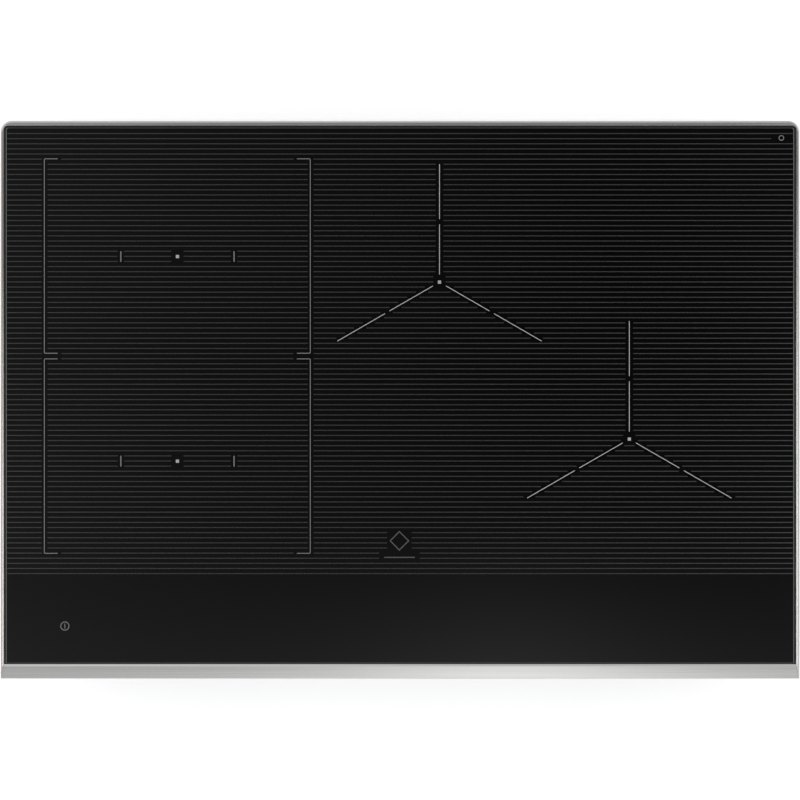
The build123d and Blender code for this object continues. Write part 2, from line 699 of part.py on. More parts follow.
spring_rise = FORMER_BOTTOM - TRAY_TOP_Z - 2 * (SPRING_WIRE_RADIUS + SPRING_END_GAP)
with BuildPart(mode=Mode.PRIVATE) as one_spring:
    with BuildLine():
        coil_line = Helix(pitch=spring_rise / SPRING_TURNS, height=spring_rise, radius=SPRING_RADIUS)
    with BuildSketch(Plane(origin=coil_line @ 0, z_dir=coil_line % 0)):
        Circle(SPRING_WIRE_RADIUS)
    sweep(path=coil_line, is_frenet=True)

with BuildPart() as coil_springs:
    for place in all_spring_places:
        with Locations((place[0], place[1], TRAY_TOP_Z + SPRING_WIRE_RADIUS + SPRING_END_GAP)):
            add(one_spring.part)
keep(coil_springs.part, "coil_springs")

# Each tray is a folded sheet with a lead hole beside each coil's middle.
tray_spans = {
    "left_coil_tray": (-TRAY_SIDE_X, TRAY_SPLIT_X - TRAY_SPLIT_GAP / 2),
    "right_coil_tray": (TRAY_SPLIT_X + TRAY_SPLIT_GAP / 2, TRAY_SIDE_X),
}
lead_places = [(x, y) for x, y, _, _ in COILS.values()]
for tray_name, (tray_left, tray_right) in tray_spans.items():
    tray_middle = ((tray_left + tray_right) / 2, (TRAY_FRONT_Y + TRAY_REAR_Y) / 2)
    with BuildPart() as tray:
        with BuildSketch(Plane.XY.offset(TRAY_TOP_Z)):
            with Locations(tray_middle):
                Rectangle(tray_right - tray_left, TRAY_REAR_Y - TRAY_FRONT_Y)
        extrude(amount=-TRAY_FLANGE)
        with BuildSketch(Plane.XY.offset(TRAY_TOP_Z - TRAY_THICKNESS)):
            with Locations(tray_middle):
                Rectangle(tray_right - tray_left, TRAY_REAR_Y - TRAY_FRONT_Y - 2 * TRAY_THICKNESS)
        extrude(amount=-TRAY_FLANGE, mode=Mode.SUBTRACT)
        with BuildSketch(Plane.XY.offset(TRAY_TOP_Z)):
            for place in lead_places:
                if tray_left < place[0] < tray_right:
                    with Locations(place):
                        Circle(LEAD_HOLE_RADIUS)
        extrude(amount=-TRAY_THICKNESS, mode=Mode.SUBTRACT)
    keep(tray.part, tray_name)

# ---------------------------------------------------------------- electronics

board_hole_x = BOARD_WIDTH - 2 * BOARD_HOLE_INSET
board_hole_y = BOARD_DEPTH - 2 * BOARD_HOLE_INSET
filter_hole_x = FILTER_WIDTH - 2 * BOARD_HOLE_INSET
filter_hole_y = FILTER_DEPTH - 2 * BOARD_HOLE_INSET

for side_name, side_x in POWER_SIDES.items():
    with BuildPart() as power_board:
        with BuildSketch(Plane.XY.offset(BOARD_BOTTOM)):
            with Locations((side_x, BOARD_CENTRE_Y)):
                RectangleRounded(BOARD_WIDTH, BOARD_DEPTH, BOARD_HOLE_RADIUS)
                with GridLocations(board_hole_x, board_hole_y, 2, 2):
                    Circle(BOARD_HOLE_RADIUS, mode=Mode.SUBTRACT)
        extrude(amount=BOARD_THICKNESS)
    keep(power_board.part, f"{side_name}_power_board")

    fin_pitch = (HEATSINK_WIDTH - HEATSINK_FIN) / (HEATSINK_FINS - 1)
    heatsink_rear = Plane.XZ.offset(-HEATSINK_CENTRE_Y - HEATSINK_LENGTH / 2)
    with BuildPart() as heatsink:
        with BuildSketch(heatsink_rear):
            with Locations((side_x, BOARD_TOP + HEATSINK_BASE / 2)):
                Rectangle(HEATSINK_WIDTH, HEATSINK_BASE)
            with Locations((side_x, BOARD_TOP + HEATSINK_HEIGHT / 2)):
                with GridLocations(fin_pitch, 0, HEATSINK_FINS, 1):
                    Rectangle(HEATSINK_FIN, HEATSINK_HEIGHT)
        extrude(amount=HEATSINK_LENGTH)
    keep(heatsink.part, f"{side_name}_heatsink")

with BuildPart() as filter_board:
    with BuildSketch(Plane.XY.offset(BOARD_BOTTOM)):
        with Locations(FILTER_CENTRE):
            RectangleRounded(FILTER_WIDTH, FILTER_DEPTH, BOARD_HOLE_RADIUS)
            with GridLocations(filter_hole_x, filter_hole_y, 2, 2):
                Circle(BOARD_HOLE_RADIUS, mode=Mode.SUBTRACT)
    extrude(amount=BOARD_THICKNESS)
keep(filter_board.part, "filter_board")

with BuildPart() as board_standoffs:
    with BuildSketch(Plane.XY.offset(BOX_FLOOR)):
        for side_x in POWER_SIDES.values():
            with Locations((side_x, BOARD_CENTRE_Y)):
                with GridLocations(board_hole_x, board_hole_y, 2, 2):
                    RegularPolygon(STANDOFF_RADIUS, 6)
        with Locations(FILTER_CENTRE):
            with GridLocations(filter_hole_x, filter_hole_y, 2, 2):
                RegularPolygon(STANDOFF_RADIUS, 6)
    extrude(amount=STANDOFF_HEIGHT)
keep(board_standoffs.part, "board_standoffs")

# Four transistors stand against each side of a heatsink, in pairs.
with BuildPart() as power_transistors:
    thickness, width, height = TRANSISTOR_SIZE
    for side_x in POWER_SIDES.values():
        for across in (-1, 1):
            outset = across * (HEATSINK_WIDTH + thickness) / 2
            for row in (-1, 1):
                place = (side_x + outset, HEATSINK_CENTRE_Y + row * TRANSISTOR_PITCH, BOARD_TOP)
                with Locations(place):
                    Box(thickness, width, height, align=(Align.CENTER, Align.CENTER, Align.MIN))
keep(power_transistors.part, "power_transistors")

with BuildPart() as bus_capacitors:
    for side_x in POWER_SIDES.values():
        for step in (-1, 0, 1):
            with Locations((side_x + step * CAPACITOR_PITCH, CAPACITOR_Y, BOARD_TOP)):
                Box(*CAPACITOR_SIZE, align=(Align.CENTER, Align.CENTER, Align.MIN))
    fillet(bus_capacitors.edges().filter_by(Axis.Z), CAPACITOR_EDGE_RADIUS)
keep(bus_capacitors.part, "bus_capacitors")

choke_height = BOARD_TOP + CHOKE_TUBE_RADIUS
with BuildPart() as chokes:
    for side_x in POWER_SIDES.values():
        for across in (-1, 1):
            with Locations((side_x + across * CHOKE_OFFSET_X, CAPACITOR_Y, choke_height)):
                Torus(CHOKE_RADIUS, CHOKE_TUBE_RADIUS)
    with Locations((FILTER_CENTRE[0], FILTER_CENTRE[1], choke_height)):
        Torus(CHOKE_RADIUS, CHOKE_TUBE_RADIUS)
keep(chokes.part, "chokes")

with BuildPart() as terminal_block:
    block_width, block_depth, block_height = TERMINAL_SIZE
    way_pitch = block_width / TERMINAL_WAYS
    with Locations((*TERMINAL_CENTRE, BOX_FLOOR)):
        Box(*TERMINAL_SIZE, align=(Align.CENTER, Align.CENTER, Align.MIN))
    with BuildSketch(Plane.XY.offset(BOX_FLOOR + block_height)):
        with Locations(TERMINAL_CENTRE):
            with GridLocations(way_pitch, 0, TERMINAL_WAYS, 1):
                Rectangle(way_pitch - TERMINAL_RIB, block_depth)
    extrude(amount=-block_height / 2, mode=Mode.SUBTRACT)
keep(terminal_block.part, "terminal_block")

# ---------------------------------------------------------------- blowers


def blower_outline(shrink):
    """A blower's round chamber and its outlet to the front, drawn in by shrink, about its own centre."""
    with BuildSketch(mode=Mode.PRIVATE) as shape:
        Circle(BLOWER_RADIUS - shrink)
        outlet_length = BLOWER_Y - BLOWER_OUTLET_Y
        with Locations((BLOWER_RADIUS - BLOWER_OUTLET_WIDTH / 2, -outlet_length / 2)):
            Rectangle(BLOWER_OUTLET_WIDTH - 2 * shrink, outlet_length)
    return shape.sketch


impeller_top = BLOWER_TOP - BLOWER_WALL - IMPELLER_TOP_GAP
impeller_bottom = BOX_FLOOR + BLOWER_WALL + IMPELLER_BOTTOM_GAP
stator_bottom = BLOWER_TOP - BLOWER_WALL - STATOR_HEIGHT
hub_floor = impeller_top - HUB_DEPTH
for side_name, side_x in POWER_SIDES.items():
    axle = (side_x, BLOWER_Y)
    with BuildPart() as blower_housing:
        with BuildSketch(Plane.XY.offset(BOX_FLOOR)):
            with Locations(axle):
                add(blower_outline(0))
        extrude(amount=BLOWER_HEIGHT)
        with BuildSketch(Plane.XY.offset(BOX_FLOOR + BLOWER_WALL)):
            with Locations(axle):
                add(blower_outline(BLOWER_WALL))
        extrude(amount=BLOWER_HEIGHT - 2 * BLOWER_WALL, mode=Mode.SUBTRACT)
        with BuildSketch(Plane.XY.offset(BOX_FLOOR)):
            with Locations(axle):
                Circle(BLOWER_INLET_RADIUS)
        extrude(amount=BLOWER_WALL, mode=Mode.SUBTRACT)
        with BuildSketch(Plane.XY.offset(BLOWER_TOP - BLOWER_WALL)):
            with Locations(axle):
                Circle(STATOR_RADIUS)
        extrude(amount=-STATOR_HEIGHT)
        with BuildSketch(Plane.XY.offset(BLOWER_TOP - BLOWER_WALL)):
            with Locations(axle):
                Circle(SHAFT_RADIUS)
        extrude(amount=-SHAFT_LENGTH)
    keep(blower_housing.part, f"{side_name}_blower_housing")

    with BuildPart() as blower_impeller:
        with BuildSketch(Plane.XY.offset(impeller_top)):
            with Locations(axle):
                Circle(IMPELLER_RADIUS)
        extrude(amount=-IMPELLER_PLATE)
        with BuildSketch(Plane.XY.offset(impeller_bottom)):
            with Locations(axle):
                Circle(IMPELLER_RADIUS)
                Circle(IMPELLER_RADIUS - IMPELLER_RING, mode=Mode.SUBTRACT)
        extrude(amount=IMPELLER_PLATE)
        with BuildSketch(Plane.XY.offset(impeller_bottom)):
            with Locations(axle):
                with PolarLocations(IMPELLER_RADIUS - BLADE_CHORD / 2, BLADE_COUNT):
                    Rectangle(BLADE_CHORD, BLADE_THICKNESS, rotation=BLADE_ANGLE)
        extrude(amount=impeller_top - impeller_bottom)
        with BuildSketch(Plane.XY.offset(hub_floor)):
            with Locations(axle):
                Circle(HUB_RADIUS)
        extrude(amount=HUB_DEPTH)
        with BuildSketch(Plane.XY.offset(hub_floor + HUB_WALL)):
            with Locations(axle):
                Circle(HUB_RADIUS - HUB_WALL)
        extrude(amount=HUB_DEPTH, mode=Mode.SUBTRACT)
        with BuildSketch(Plane.XY.offset(hub_floor)):
            with Locations(axle):
                Circle(BOSS_RADIUS)
        extrude(amount=stator_bottom - BOSS_GAP - hub_floor)
        with BuildSketch(Plane.XY.offset(hub_floor)):
            with Locations(axle):
                Circle(SHAFT_RADIUS + SHAFT_CLEARANCE)
        extrude(amount=HUB_DEPTH, mode=Mode.SUBTRACT)
    keep(blower_impeller.part, f"{side_name}_blower_impeller")

# ---------------------------------------------------------------- controls

with BuildPart() as control_bracket:
    with BuildSketch(Plane.XY.offset(CONTROL_BOARD_TOP)):
        with Locations((0, CONTROL_CENTRE_Y)):
            Rectangle(CONTROL_WIDTH + 2 * CONTROL_WALL, CONTROL_REAR_Y - CONTROL_FRONT_Y)
    extrude(amount=-CONTROL_DEPTH)
    with BuildSketch(Plane.XY.offset(CONTROL_BOARD_TOP)):
        with Locations((0, CONTROL_CENTRE_Y)):
            Rectangle(CONTROL_WIDTH, CONTROL_REAR_Y - CONTROL_FRONT_Y - 2 * CONTROL_WALL)
    extrude(amount=-BOARD_THICKNESS, mode=Mode.SUBTRACT)
    with BuildSketch(Plane.XY.offset(CONTROL_BOARD_BOTTOM)):
        with Locations((0, CONTROL_CENTRE_Y)):
            Rectangle(
                CONTROL_WIDTH - 2 * CONTROL_WALL, CONTROL_REAR_Y - CONTROL_FRONT_Y - 4 * CONTROL_WALL
            )
            with GridLocations(PAD_PITCH * 2, 0, PAD_COUNT // 2, 1):
                Rectangle(CONTROL_WALL, CONTROL_REAR_Y - CONTROL_FRONT_Y, mode=Mode.SUBTRACT)
    extrude(amount=-CONTROL_DEPTH + BOARD_THICKNESS + CONTROL_WALL, mode=Mode.SUBTRACT)
keep(control_bracket.part, "control_bracket")

with BuildPart() as control_board:
    with BuildSketch(Plane.XY.offset(CONTROL_BOARD_BOTTOM)):
        with Locations((0, CONTROL_CENTRE_Y)):
            Rectangle(CONTROL_WIDTH, CONTROL_REAR_Y - CONTROL_FRONT_Y - 2 * CONTROL_WALL)
    extrude(amount=BOARD_THICKNESS)
keep(control_board.part, "control_board")

with BuildPart() as touch_pads:
    with BuildSketch(Plane.XY.offset(CONTROL_BOARD_TOP)):
        with Locations((0, PAD_Y)):
            with GridLocations(PAD_PITCH, 0, PAD_COUNT, 1):
                Circle(PAD_RADIUS)
                Circle(PAD_BORE_RADIUS, mode=Mode.SUBTRACT)
    extrude(amount=CONTROL_PAD_HEIGHT)
keep(touch_pads.part, "touch_pads")

# ---------------------------------------------------------------- coil leads

# Each coil's lead drops through its tray, runs below it and comes down on its power board.
lead_top = FERRITE_BOTTOM - LEAD_RADIUS
lead_low = TRAY_TOP_Z - TRAY_FLANGE - 2 * LEAD_RADIUS
with BuildPart() as coil_leads:
    for coil_name, (end_x, end_y) in LEAD_ENDS.items():
        coil_x, coil_y = COILS[coil_name][:2]
        with BuildLine():
            lead_line = FilletPolyline(
                (coil_x, coil_y, lead_top),
                (coil_x, coil_y, lead_low),
                (end_x, end_y, lead_low),
                (end_x, end_y, BOARD_TOP),
                radius=LEAD_BEND,
            )
        with BuildSketch(Plane(origin=lead_line @ 0, z_dir=lead_line % 0)):
            Circle(LEAD_RADIUS)
        sweep(path=lead_line)
keep(coil_leads.part, "coil_leads")

# ---------------------------------------------------------------- hold-down clamps

arm_bottom = CLAMP_ARM_Z - CLAMP_THICKNESS
arm_bend_span = (arm_bottom - SHOULDER_GAP, arm_bottom + SHOULDER_GAP)
screw_top = FOOT_BOTTOM_Z - SHOULDER_GAP
head_top = CLAMP_HEAD_BOTTOM_Z + CLAMP_HEAD_HEIGHT
for side_name, side in {"left": -1, "right": 1}.items():
    wall_x = side * BOX_HALF_WIDTH
    screw_x = side * (BOX_HALF_WIDTH + CLAMP_SCREW_OFFSET)
    screw_place = (screw_x, CLAMP_Y)

    with BuildPart() as clamp_bracket:
        with BuildSketch(Plane.XZ.offset(-CLAMP_Y - CLAMP_WIDTH / 2)) as profile:
            with BuildLine():
                Polyline(
                    (wall_x, CLAMP_ARM_Z),
                    (wall_x + side * CLAMP_REACH, CLAMP_ARM_Z),
                    (wall_x + side * CLAMP_REACH, CLAMP_ARM_Z - CLAMP_LIP),
                    (wall_x + side * (CLAMP_REACH - CLAMP_THICKNESS), CLAMP_ARM_Z - CLAMP_LIP),
                    (wall_x + side * (CLAMP_REACH - CLAMP_THICKNESS), arm_bottom),
                    (wall_x + side * CLAMP_THICKNESS, arm_bottom),
                    (wall_x + side * CLAMP_THICKNESS, CLAMP_ARM_Z - CLAMP_LEG),
                    (wall_x, CLAMP_ARM_Z - CLAMP_LEG),
                    close=True,
                )
            make_face()
            fillet(profile.vertices().group_by(Axis.Y)[-1], CLAMP_BEND_RADIUS)
            inner_bends = profile.vertices().filter_by_position(Axis.Y, *arm_bend_span)
            fillet(inner_bends, CLAMP_BEND_RADIUS - CLAMP_THICKNESS)
        extrude(amount=CLAMP_WIDTH)
        with BuildSketch(Plane.XY.offset(arm_bottom)):
            with Locations(screw_place):
                RegularPolygon(WELD_NUT_RADIUS, 6)
        extrude(amount=-WELD_NUT_HEIGHT)
        with BuildSketch(Plane.XY.offset(CLAMP_ARM_Z)):
            with Locations(screw_place):
                Circle(THREAD_RADIUS + THREAD_CLEARANCE)
        extrude(amount=-CLAMP_THICKNESS - WELD_NUT_HEIGHT, mode=Mode.SUBTRACT)
        with BuildSketch(*[plane for plane in clamp_screw_planes if plane.z_dir.X == side]):
            Circle(SCREW_HOLE_RADIUS)
        extrude(amount=-CLAMP_THICKNESS, mode=Mode.SUBTRACT)
    keep(clamp_bracket.part, f"{side_name}_clamp_bracket")

    with BuildPart() as clamp_foot:
        with BuildSketch(Plane.XY.offset(FOOT_BOTTOM_Z)):
            with Locations(screw_place):
                Circle(FOOT_RADIUS)
        extrude(amount=FOOT_THICKNESS)
        chamfer(clamp_foot.faces().sort_by(Axis.Z)[0].edges(), FOOT_THICKNESS / 2)
        with BuildSketch(Plane.XY.offset(FOOT_BOTTOM_Z)):
            with Locations(screw_place):
                Circle(TIP_RADIUS + THREAD_CLEARANCE)
        extrude(amount=FOOT_SOCKET_DEPTH, mode=Mode.SUBTRACT)
    keep(clamp_foot.part, f"{side_name}_clamp_foot")

    with BuildPart() as clamp_screw:
        with BuildSketch(Plane.XY.offset(head_top)):
            with Locations(screw_place):
                Circle(THREAD_RADIUS)
        extrude(amount=screw_top - head_top)
        with BuildSketch(Plane.XY.offset(screw_top)):
            with Locations(screw_place):
                Circle(TIP_RADIUS)
        extrude(amount=TIP_LENGTH)
        with BuildSketch(Plane.XY.offset(CLAMP_HEAD_BOTTOM_Z)):
            with Locations(screw_place):
                RegularPolygon(CLAMP_HEAD_RADIUS, 6)
        extrude(amount=CLAMP_HEAD_HEIGHT)
    keep(clamp_screw.part, f"{side_name}_clamp_screw")
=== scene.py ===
import json

import bpy
import numpy as np
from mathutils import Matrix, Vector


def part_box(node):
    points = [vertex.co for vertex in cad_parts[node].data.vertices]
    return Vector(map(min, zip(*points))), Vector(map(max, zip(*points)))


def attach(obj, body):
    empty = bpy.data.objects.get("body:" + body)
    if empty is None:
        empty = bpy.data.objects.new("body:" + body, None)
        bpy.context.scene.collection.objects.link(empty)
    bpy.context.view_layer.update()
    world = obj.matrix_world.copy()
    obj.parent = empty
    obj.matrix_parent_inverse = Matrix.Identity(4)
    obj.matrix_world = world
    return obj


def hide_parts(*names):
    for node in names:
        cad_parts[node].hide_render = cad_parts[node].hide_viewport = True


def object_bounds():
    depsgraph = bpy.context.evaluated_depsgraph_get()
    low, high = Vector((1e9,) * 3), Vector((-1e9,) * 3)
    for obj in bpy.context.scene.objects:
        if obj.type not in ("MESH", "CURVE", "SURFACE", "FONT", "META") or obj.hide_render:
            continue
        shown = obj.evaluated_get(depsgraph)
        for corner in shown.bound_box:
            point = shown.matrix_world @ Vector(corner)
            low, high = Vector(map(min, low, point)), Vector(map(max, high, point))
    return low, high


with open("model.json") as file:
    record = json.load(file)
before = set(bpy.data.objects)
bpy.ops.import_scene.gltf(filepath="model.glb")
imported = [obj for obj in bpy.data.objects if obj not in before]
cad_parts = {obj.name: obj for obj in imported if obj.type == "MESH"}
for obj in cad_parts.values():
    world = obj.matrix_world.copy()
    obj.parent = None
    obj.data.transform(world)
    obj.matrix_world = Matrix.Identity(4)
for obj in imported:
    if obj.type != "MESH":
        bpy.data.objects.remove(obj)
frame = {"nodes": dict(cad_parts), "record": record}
nodes = frame["nodes"]
cad_low, cad_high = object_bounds()

MM = 0.001

# ---------------------------------------------------------------- finishes


class NodeWork:
    """Short ways to add nodes to a tree and to link them."""

    def __init__(self, tree):
        self.tree = tree

    def add(self, kind, **settings):
        node = self.tree.nodes.new(kind)
        for setting, value in settings.items():
            setattr(node, setting, value)
        return node

    def feed(self, socket, value):
        """Link a socket to an output, or set it to a number, a vector or a colour."""
        if isinstance(value, bpy.types.NodeSocket):
            self.tree.links.new(value, socket)
        elif isinstance(value, (int, float)):
            socket.default_value = value
        else:
            socket.default_value = tuple(value) + (1.0,) * (socket.type == "RGBA")

    def work(self, operation, first, second=0.0):
        work = self.add("ShaderNodeMath", operation=operation)
        self.feed(work.inputs[0], first)
        self.feed(work.inputs[1], second)
        return work.outputs["Value"]

    def between(self, value, low, high, start=0.0, end=1.0, easing="LINEAR"):
        """Carry a value's range from start to end over to the range from low to high."""
        span = self.add("ShaderNodeMapRange", interpolation_type=easing)
        self.feed(span.inputs["Value"], value)
        self.feed(span.inputs["From Min"], start)
        self.feed(span.inputs["From Max"], end)
        self.feed(span.inputs["To Min"], low)
        self.feed(span.inputs["To Max"], high)
        return span.outputs["Result"]

    def axis(self, vector, letter):
        apart = self.add("ShaderNodeSeparateXYZ")
        self.feed(apart.inputs["Vector"], vector)
        return apart.outputs[letter]


class Finish(NodeWork):
    """A material made of nodes, with its patterns laid out in metres on Object coordinates."""

    def __init__(self, name, metallic=0.0, roughness=0.5):
        self.material = bpy.data.materials.new(name)
        self.material.use_nodes = True
        super().__init__(self.material.node_tree)
        self.shader = self.tree.nodes["Principled BSDF"]
        self.place = self.add("ShaderNodeTexCoord").outputs["Object"]
        self.shader.inputs["Metallic"].default_value = metallic
        self.shader.inputs["Roughness"].default_value = roughness

    def stretched(self, scale):
        """The place on the piece, scaled along X, Y and Z."""
        mapping = self.add("ShaderNodeMapping")
        self.feed(mapping.inputs["Vector"], self.place)
        self.feed(mapping.inputs["Scale"], scale)
        return mapping.outputs["Vector"]

    def noise(self, scale, detail=3.0, place=None, roughness=0.5):
        noise = self.add("ShaderNodeTexNoise")
        self.feed(noise.inputs["Vector"], place or self.place)
        self.feed(noise.inputs["Scale"], scale)
        self.feed(noise.inputs["Detail"], detail)
        self.feed(noise.inputs["Roughness"], roughness)
        return noise.outputs["Fac"]

    def cells(self, scale, output="Color", feature="F1", place=None):
        cells = self.add("ShaderNodeTexVoronoi", feature=feature)
        self.feed(cells.inputs["Vector"], place or self.place)
        self.feed(cells.inputs["Scale"], scale)
        return cells.outputs[output]

    def waves(self, scale, direction, distortion=0.0):
        waves = self.add("ShaderNodeTexWave", bands_direction=direction)
        self.feed(waves.inputs["Vector"], self.place)
        self.feed(waves.inputs["Scale"], scale)
        self.feed(waves.inputs["Distortion"], distortion)
        return waves.outputs["Fac"]

    def blend(self, share, first, second):
        """A colour that goes from first to second as share goes from 0 to 1."""
        blend = self.add("ShaderNodeMix", data_type="RGBA")
        self.feed(blend.inputs["Factor"], share)
        colours = [socket for socket in blend.inputs if socket.type == "RGBA"]
        self.feed(colours[0], first)
        self.feed(colours[1], second)
        return [socket for socket in blend.outputs if socket.type == "RGBA"][0]

    def facing(self, letter):
        """How far the surface faces along an axis, from 0 to 1 either way."""
        geometry = self.add("ShaderNodeNewGeometry")
        return self.work("ABSOLUTE", self.axis(geometry.outputs["Normal"], letter))

    def colour(self, value):
        self.feed(self.shader.inputs["Base Color"], value)

    def rough(self, value):
        self.feed(self.shader.inputs["Roughness"], value)

    def relief(self, height, depth):
        """Raise the surface by up to depth metres where height is 1."""
        relief = self.add("ShaderNodeBump")
        self.feed(relief.inputs["Strength"], 1.0)
        self.feed(relief.inputs["Distance"], depth)
        self.feed(relief.inputs["Height"], height)
        self.feed(self.shader.inputs["Normal"], relief.outputs["Normal"])


WHITE = (1.0, 1.0, 1.0)
GREENISH = (0.95, 1.0, 0.98)
# A noise stays within this range nearly everywhere
NOISE_LOW = 0.3
NOISE_HIGH = 0.7
# Brushed scratches to the metre along X, Y and Z, on a strip that runs along X or along Y
ALONG_X = (6.0, 2200.0, 2200.0)
ALONG_Y = (2200.0, 6.0, 2200.0)
# What grinding adds to the roughness of the edge of the glass
GROUND_ROUGHNESS = 0.3
MITRE_BLEND = 0.5 * MM
# Zinc: how much of the tone the crystals make, and how far their outlines wander in metres
CRYSTAL_SHARE = 0.75
CRYSTAL_WOBBLE = 0.008
# Swings of roughness and of shade either side of the middle, for plastics, minerals and inks
GRAIN_ROUGHNESS = 0.08
SHADE_SPREAD = 0.16
MINERAL_DARK = 0.85
MINERAL_ROUGHNESS = 0.06
INK_SPREAD = 0.12
INK_ROUGHNESS = 0.05


def grey(value, tint=WHITE):
    """A neutral colour of that brightness, with a slight tint."""
    return tuple(value * part for part in tint)


def make_black_glass():
    """Black glass-ceramic: a deep gloss with a faint grain, and a paler ground edge where it slopes, with a
    painted highlight where the edge faces left or right.
    """
    glass = Finish("black_glass_ceramic")
    grain = glass.noise(1500.0, detail=4.0)
    body = glass.blend(grain, grey(0.0006), grey(0.0012, tint=(0.9, 1.05, 0.95)))
    ground = glass.between(glass.facing("Z"), 1.0, 0.0, start=0.75, end=0.97)
    # Painted highlight: the ground edge is painted lighter where it faces left or right than where it faces
    # the front or the rear.
    sideways = glass.between(glass.facing("X"), 0.0, 1.0, start=0.1, end=0.4)
    edge = glass.blend(sideways, grey(0.07, GREENISH), grey(0.24, GREENISH))
    glass.colour(glass.blend(ground, body, edge))
    polish = glass.between(glass.noise(25.0), low=0.025, high=0.045)
    glass.rough(glass.work("ADD", polish, glass.work("MULTIPLY", ground, GROUND_ROUGHNESS)))
    return glass.material


def make_brushed_trim(name, follows_sides):
    """Brushed stainless steel with fine scratches along the strip, on the sides along Y."""
    trim = Finish(name, metallic=1.0)
    scratches = trim.noise(1.0, detail=2.0, place=trim.stretched(ALONG_X), roughness=0.6)
    across = trim.add("ShaderNodeCombineXYZ")
    trim.feed(across.inputs["Y"], 1.0)
    across_strip = across.outputs["Vector"]
    if follows_sides:
        along_y = trim.noise(1.0, detail=2.0, place=trim.stretched(ALONG_Y), roughness=0.6)
        from_side = trim.work("SUBTRACT", cad_high.x, trim.work("ABSOLUTE", trim.axis(trim.place, "X")))
        from_rear = trim.work("SUBTRACT", cad_high.y, trim.axis(trim.place, "Y"))
        past_mitre = trim.work("SUBTRACT", from_rear, from_side)
        on_side = trim.between(past_mitre, 0.0, 1.0, start=-MITRE_BLEND, end=MITRE_BLEND)
        scratches = trim.axis(trim.blend(on_side, scratches, along_y), "X")
        across_strip = trim.blend(on_side, across_strip, (1.0, 0.0, 0.0))
    tone = trim.between(scratches, 0.0, 1.0, NOISE_LOW, NOISE_HIGH)
    trim.colour(trim.blend(tone, grey(0.47, tint=(1.0, 0.995, 0.98)), grey(0.54, tint=(1.0, 1.0, 0.99))))
    smudges = trim.between(trim.noise(16.0, detail=2.0), low=0.0, high=0.03)
    brushing = trim.between(scratches, low=0.11, high=0.17, start=NOISE_LOW, end=NOISE_HIGH)
    trim.rough(trim.work("ADD", brushing, smudges))
    trim.relief(scratches, 0.001 * MM)
    trim.feed(trim.shader.inputs["Anisotropic"], 0.6)
    trim.feed(trim.shader.inputs["Tangent"], across_strip)
    return trim.material


def make_zinc_sheet():
    """Galvanised steel sheet: flat crystals of zinc, each with its own tone and gloss."""
    zinc = Finish("zinc_coated_sheet", metallic=1.0)
    warped = zinc.add("ShaderNodeVectorMath", operation="ADD")
    drift = zinc.add("ShaderNodeTexNoise")
    zinc.feed(drift.inputs["Vector"], zinc.place)
    zinc.feed(drift.inputs["Scale"], 60.0)
    shift = zinc.add("ShaderNodeVectorMath", operation="SCALE")
    zinc.feed(shift.inputs[0], drift.outputs["Color"])
    zinc.feed(shift.inputs["Scale"], CRYSTAL_WOBBLE)
    zinc.feed(warped.inputs[0], zinc.place)
    zinc.feed(warped.inputs[1], shift.outputs["Vector"])
    crystal = zinc.axis(zinc.cells(140.0, place=warped.outputs["Vector"]), "X")
    fine = zinc.noise(900.0, detail=3.0)
    crystal_part = zinc.work("MULTIPLY", crystal, CRYSTAL_SHARE)
    tone = zinc.work("ADD", crystal_part, zinc.work("MULTIPLY", fine, 1.0 - CRYSTAL_SHARE))
    zinc.colour(zinc.blend(tone, grey(0.42, tint=(0.98, 1.0, 1.02)), grey(0.52, tint=(0.99, 1.0, 1.01))))
    zinc.rough(zinc.between(crystal, low=0.34, high=0.46))
    zinc.relief(fine, 0.02 * MM)
    return zinc.material


def make_metal(name, dark, bright, roughness, grain, scratch=(1.0, 1.0, 1.0), tint=WHITE, depth=0.01):
    """A metal whose tone and roughness both follow one grain, stretched along an axis if rolled."""
    metal = Finish(name, metallic=1.0)
    lines = metal.noise(grain, detail=4.0, place=metal.stretched(scratch))
    tone = metal.between(lines, 0.0, 1.0, NOISE_LOW, NOISE_HIGH)
    metal.colour(metal.blend(tone, grey(dark, tint), grey(bright, tint)))
    metal.rough(metal.between(lines, *roughness, NOISE_LOW, NOISE_HIGH))
    metal.relief(lines, depth * MM)
    return metal.material


def scaled(colour, share):
    """A colour made darker or lighter by one share."""
    return tuple(share * part for part in colour)


def make_plastic(name, colour, roughness, grain=1800.0, depth=0.03, sheen=0.5):
    """A moulded plastic or rubber: a fine spark-eroded grain and a slow drift of its shade."""
    plastic = Finish(name)
    drift = plastic.noise(22.0, detail=2.0)
    texture = plastic.noise(grain, detail=3.0)
    dark, light = scaled(colour, 1.0 - SHADE_SPREAD), scaled(colour, 1.0 + SHADE_SPREAD)
    plastic.colour(plastic.blend(drift, dark, light))
    smooth, coarse = roughness - GRAIN_ROUGHNESS, roughness + GRAIN_ROUGHNESS
    plastic.rough(plastic.between(texture, smooth, coarse, NOISE_LOW, NOISE_HIGH))
    plastic.relief(texture, depth * MM)
    plastic.feed(plastic.shader.inputs["Specular IOR Level"], sheen)
    return plastic.material


def make_foam():
    """Closed-cell foam: small cells pressed into a black strip."""
    foam = Finish("closed_cell_foam", roughness=0.9)
    cell = foam.cells(1100.0, "Distance")
    foam.colour(foam.blend(cell, grey(0.020), grey(0.055)))
    foam.relief(cell, 0.12 * MM)
    return foam.material


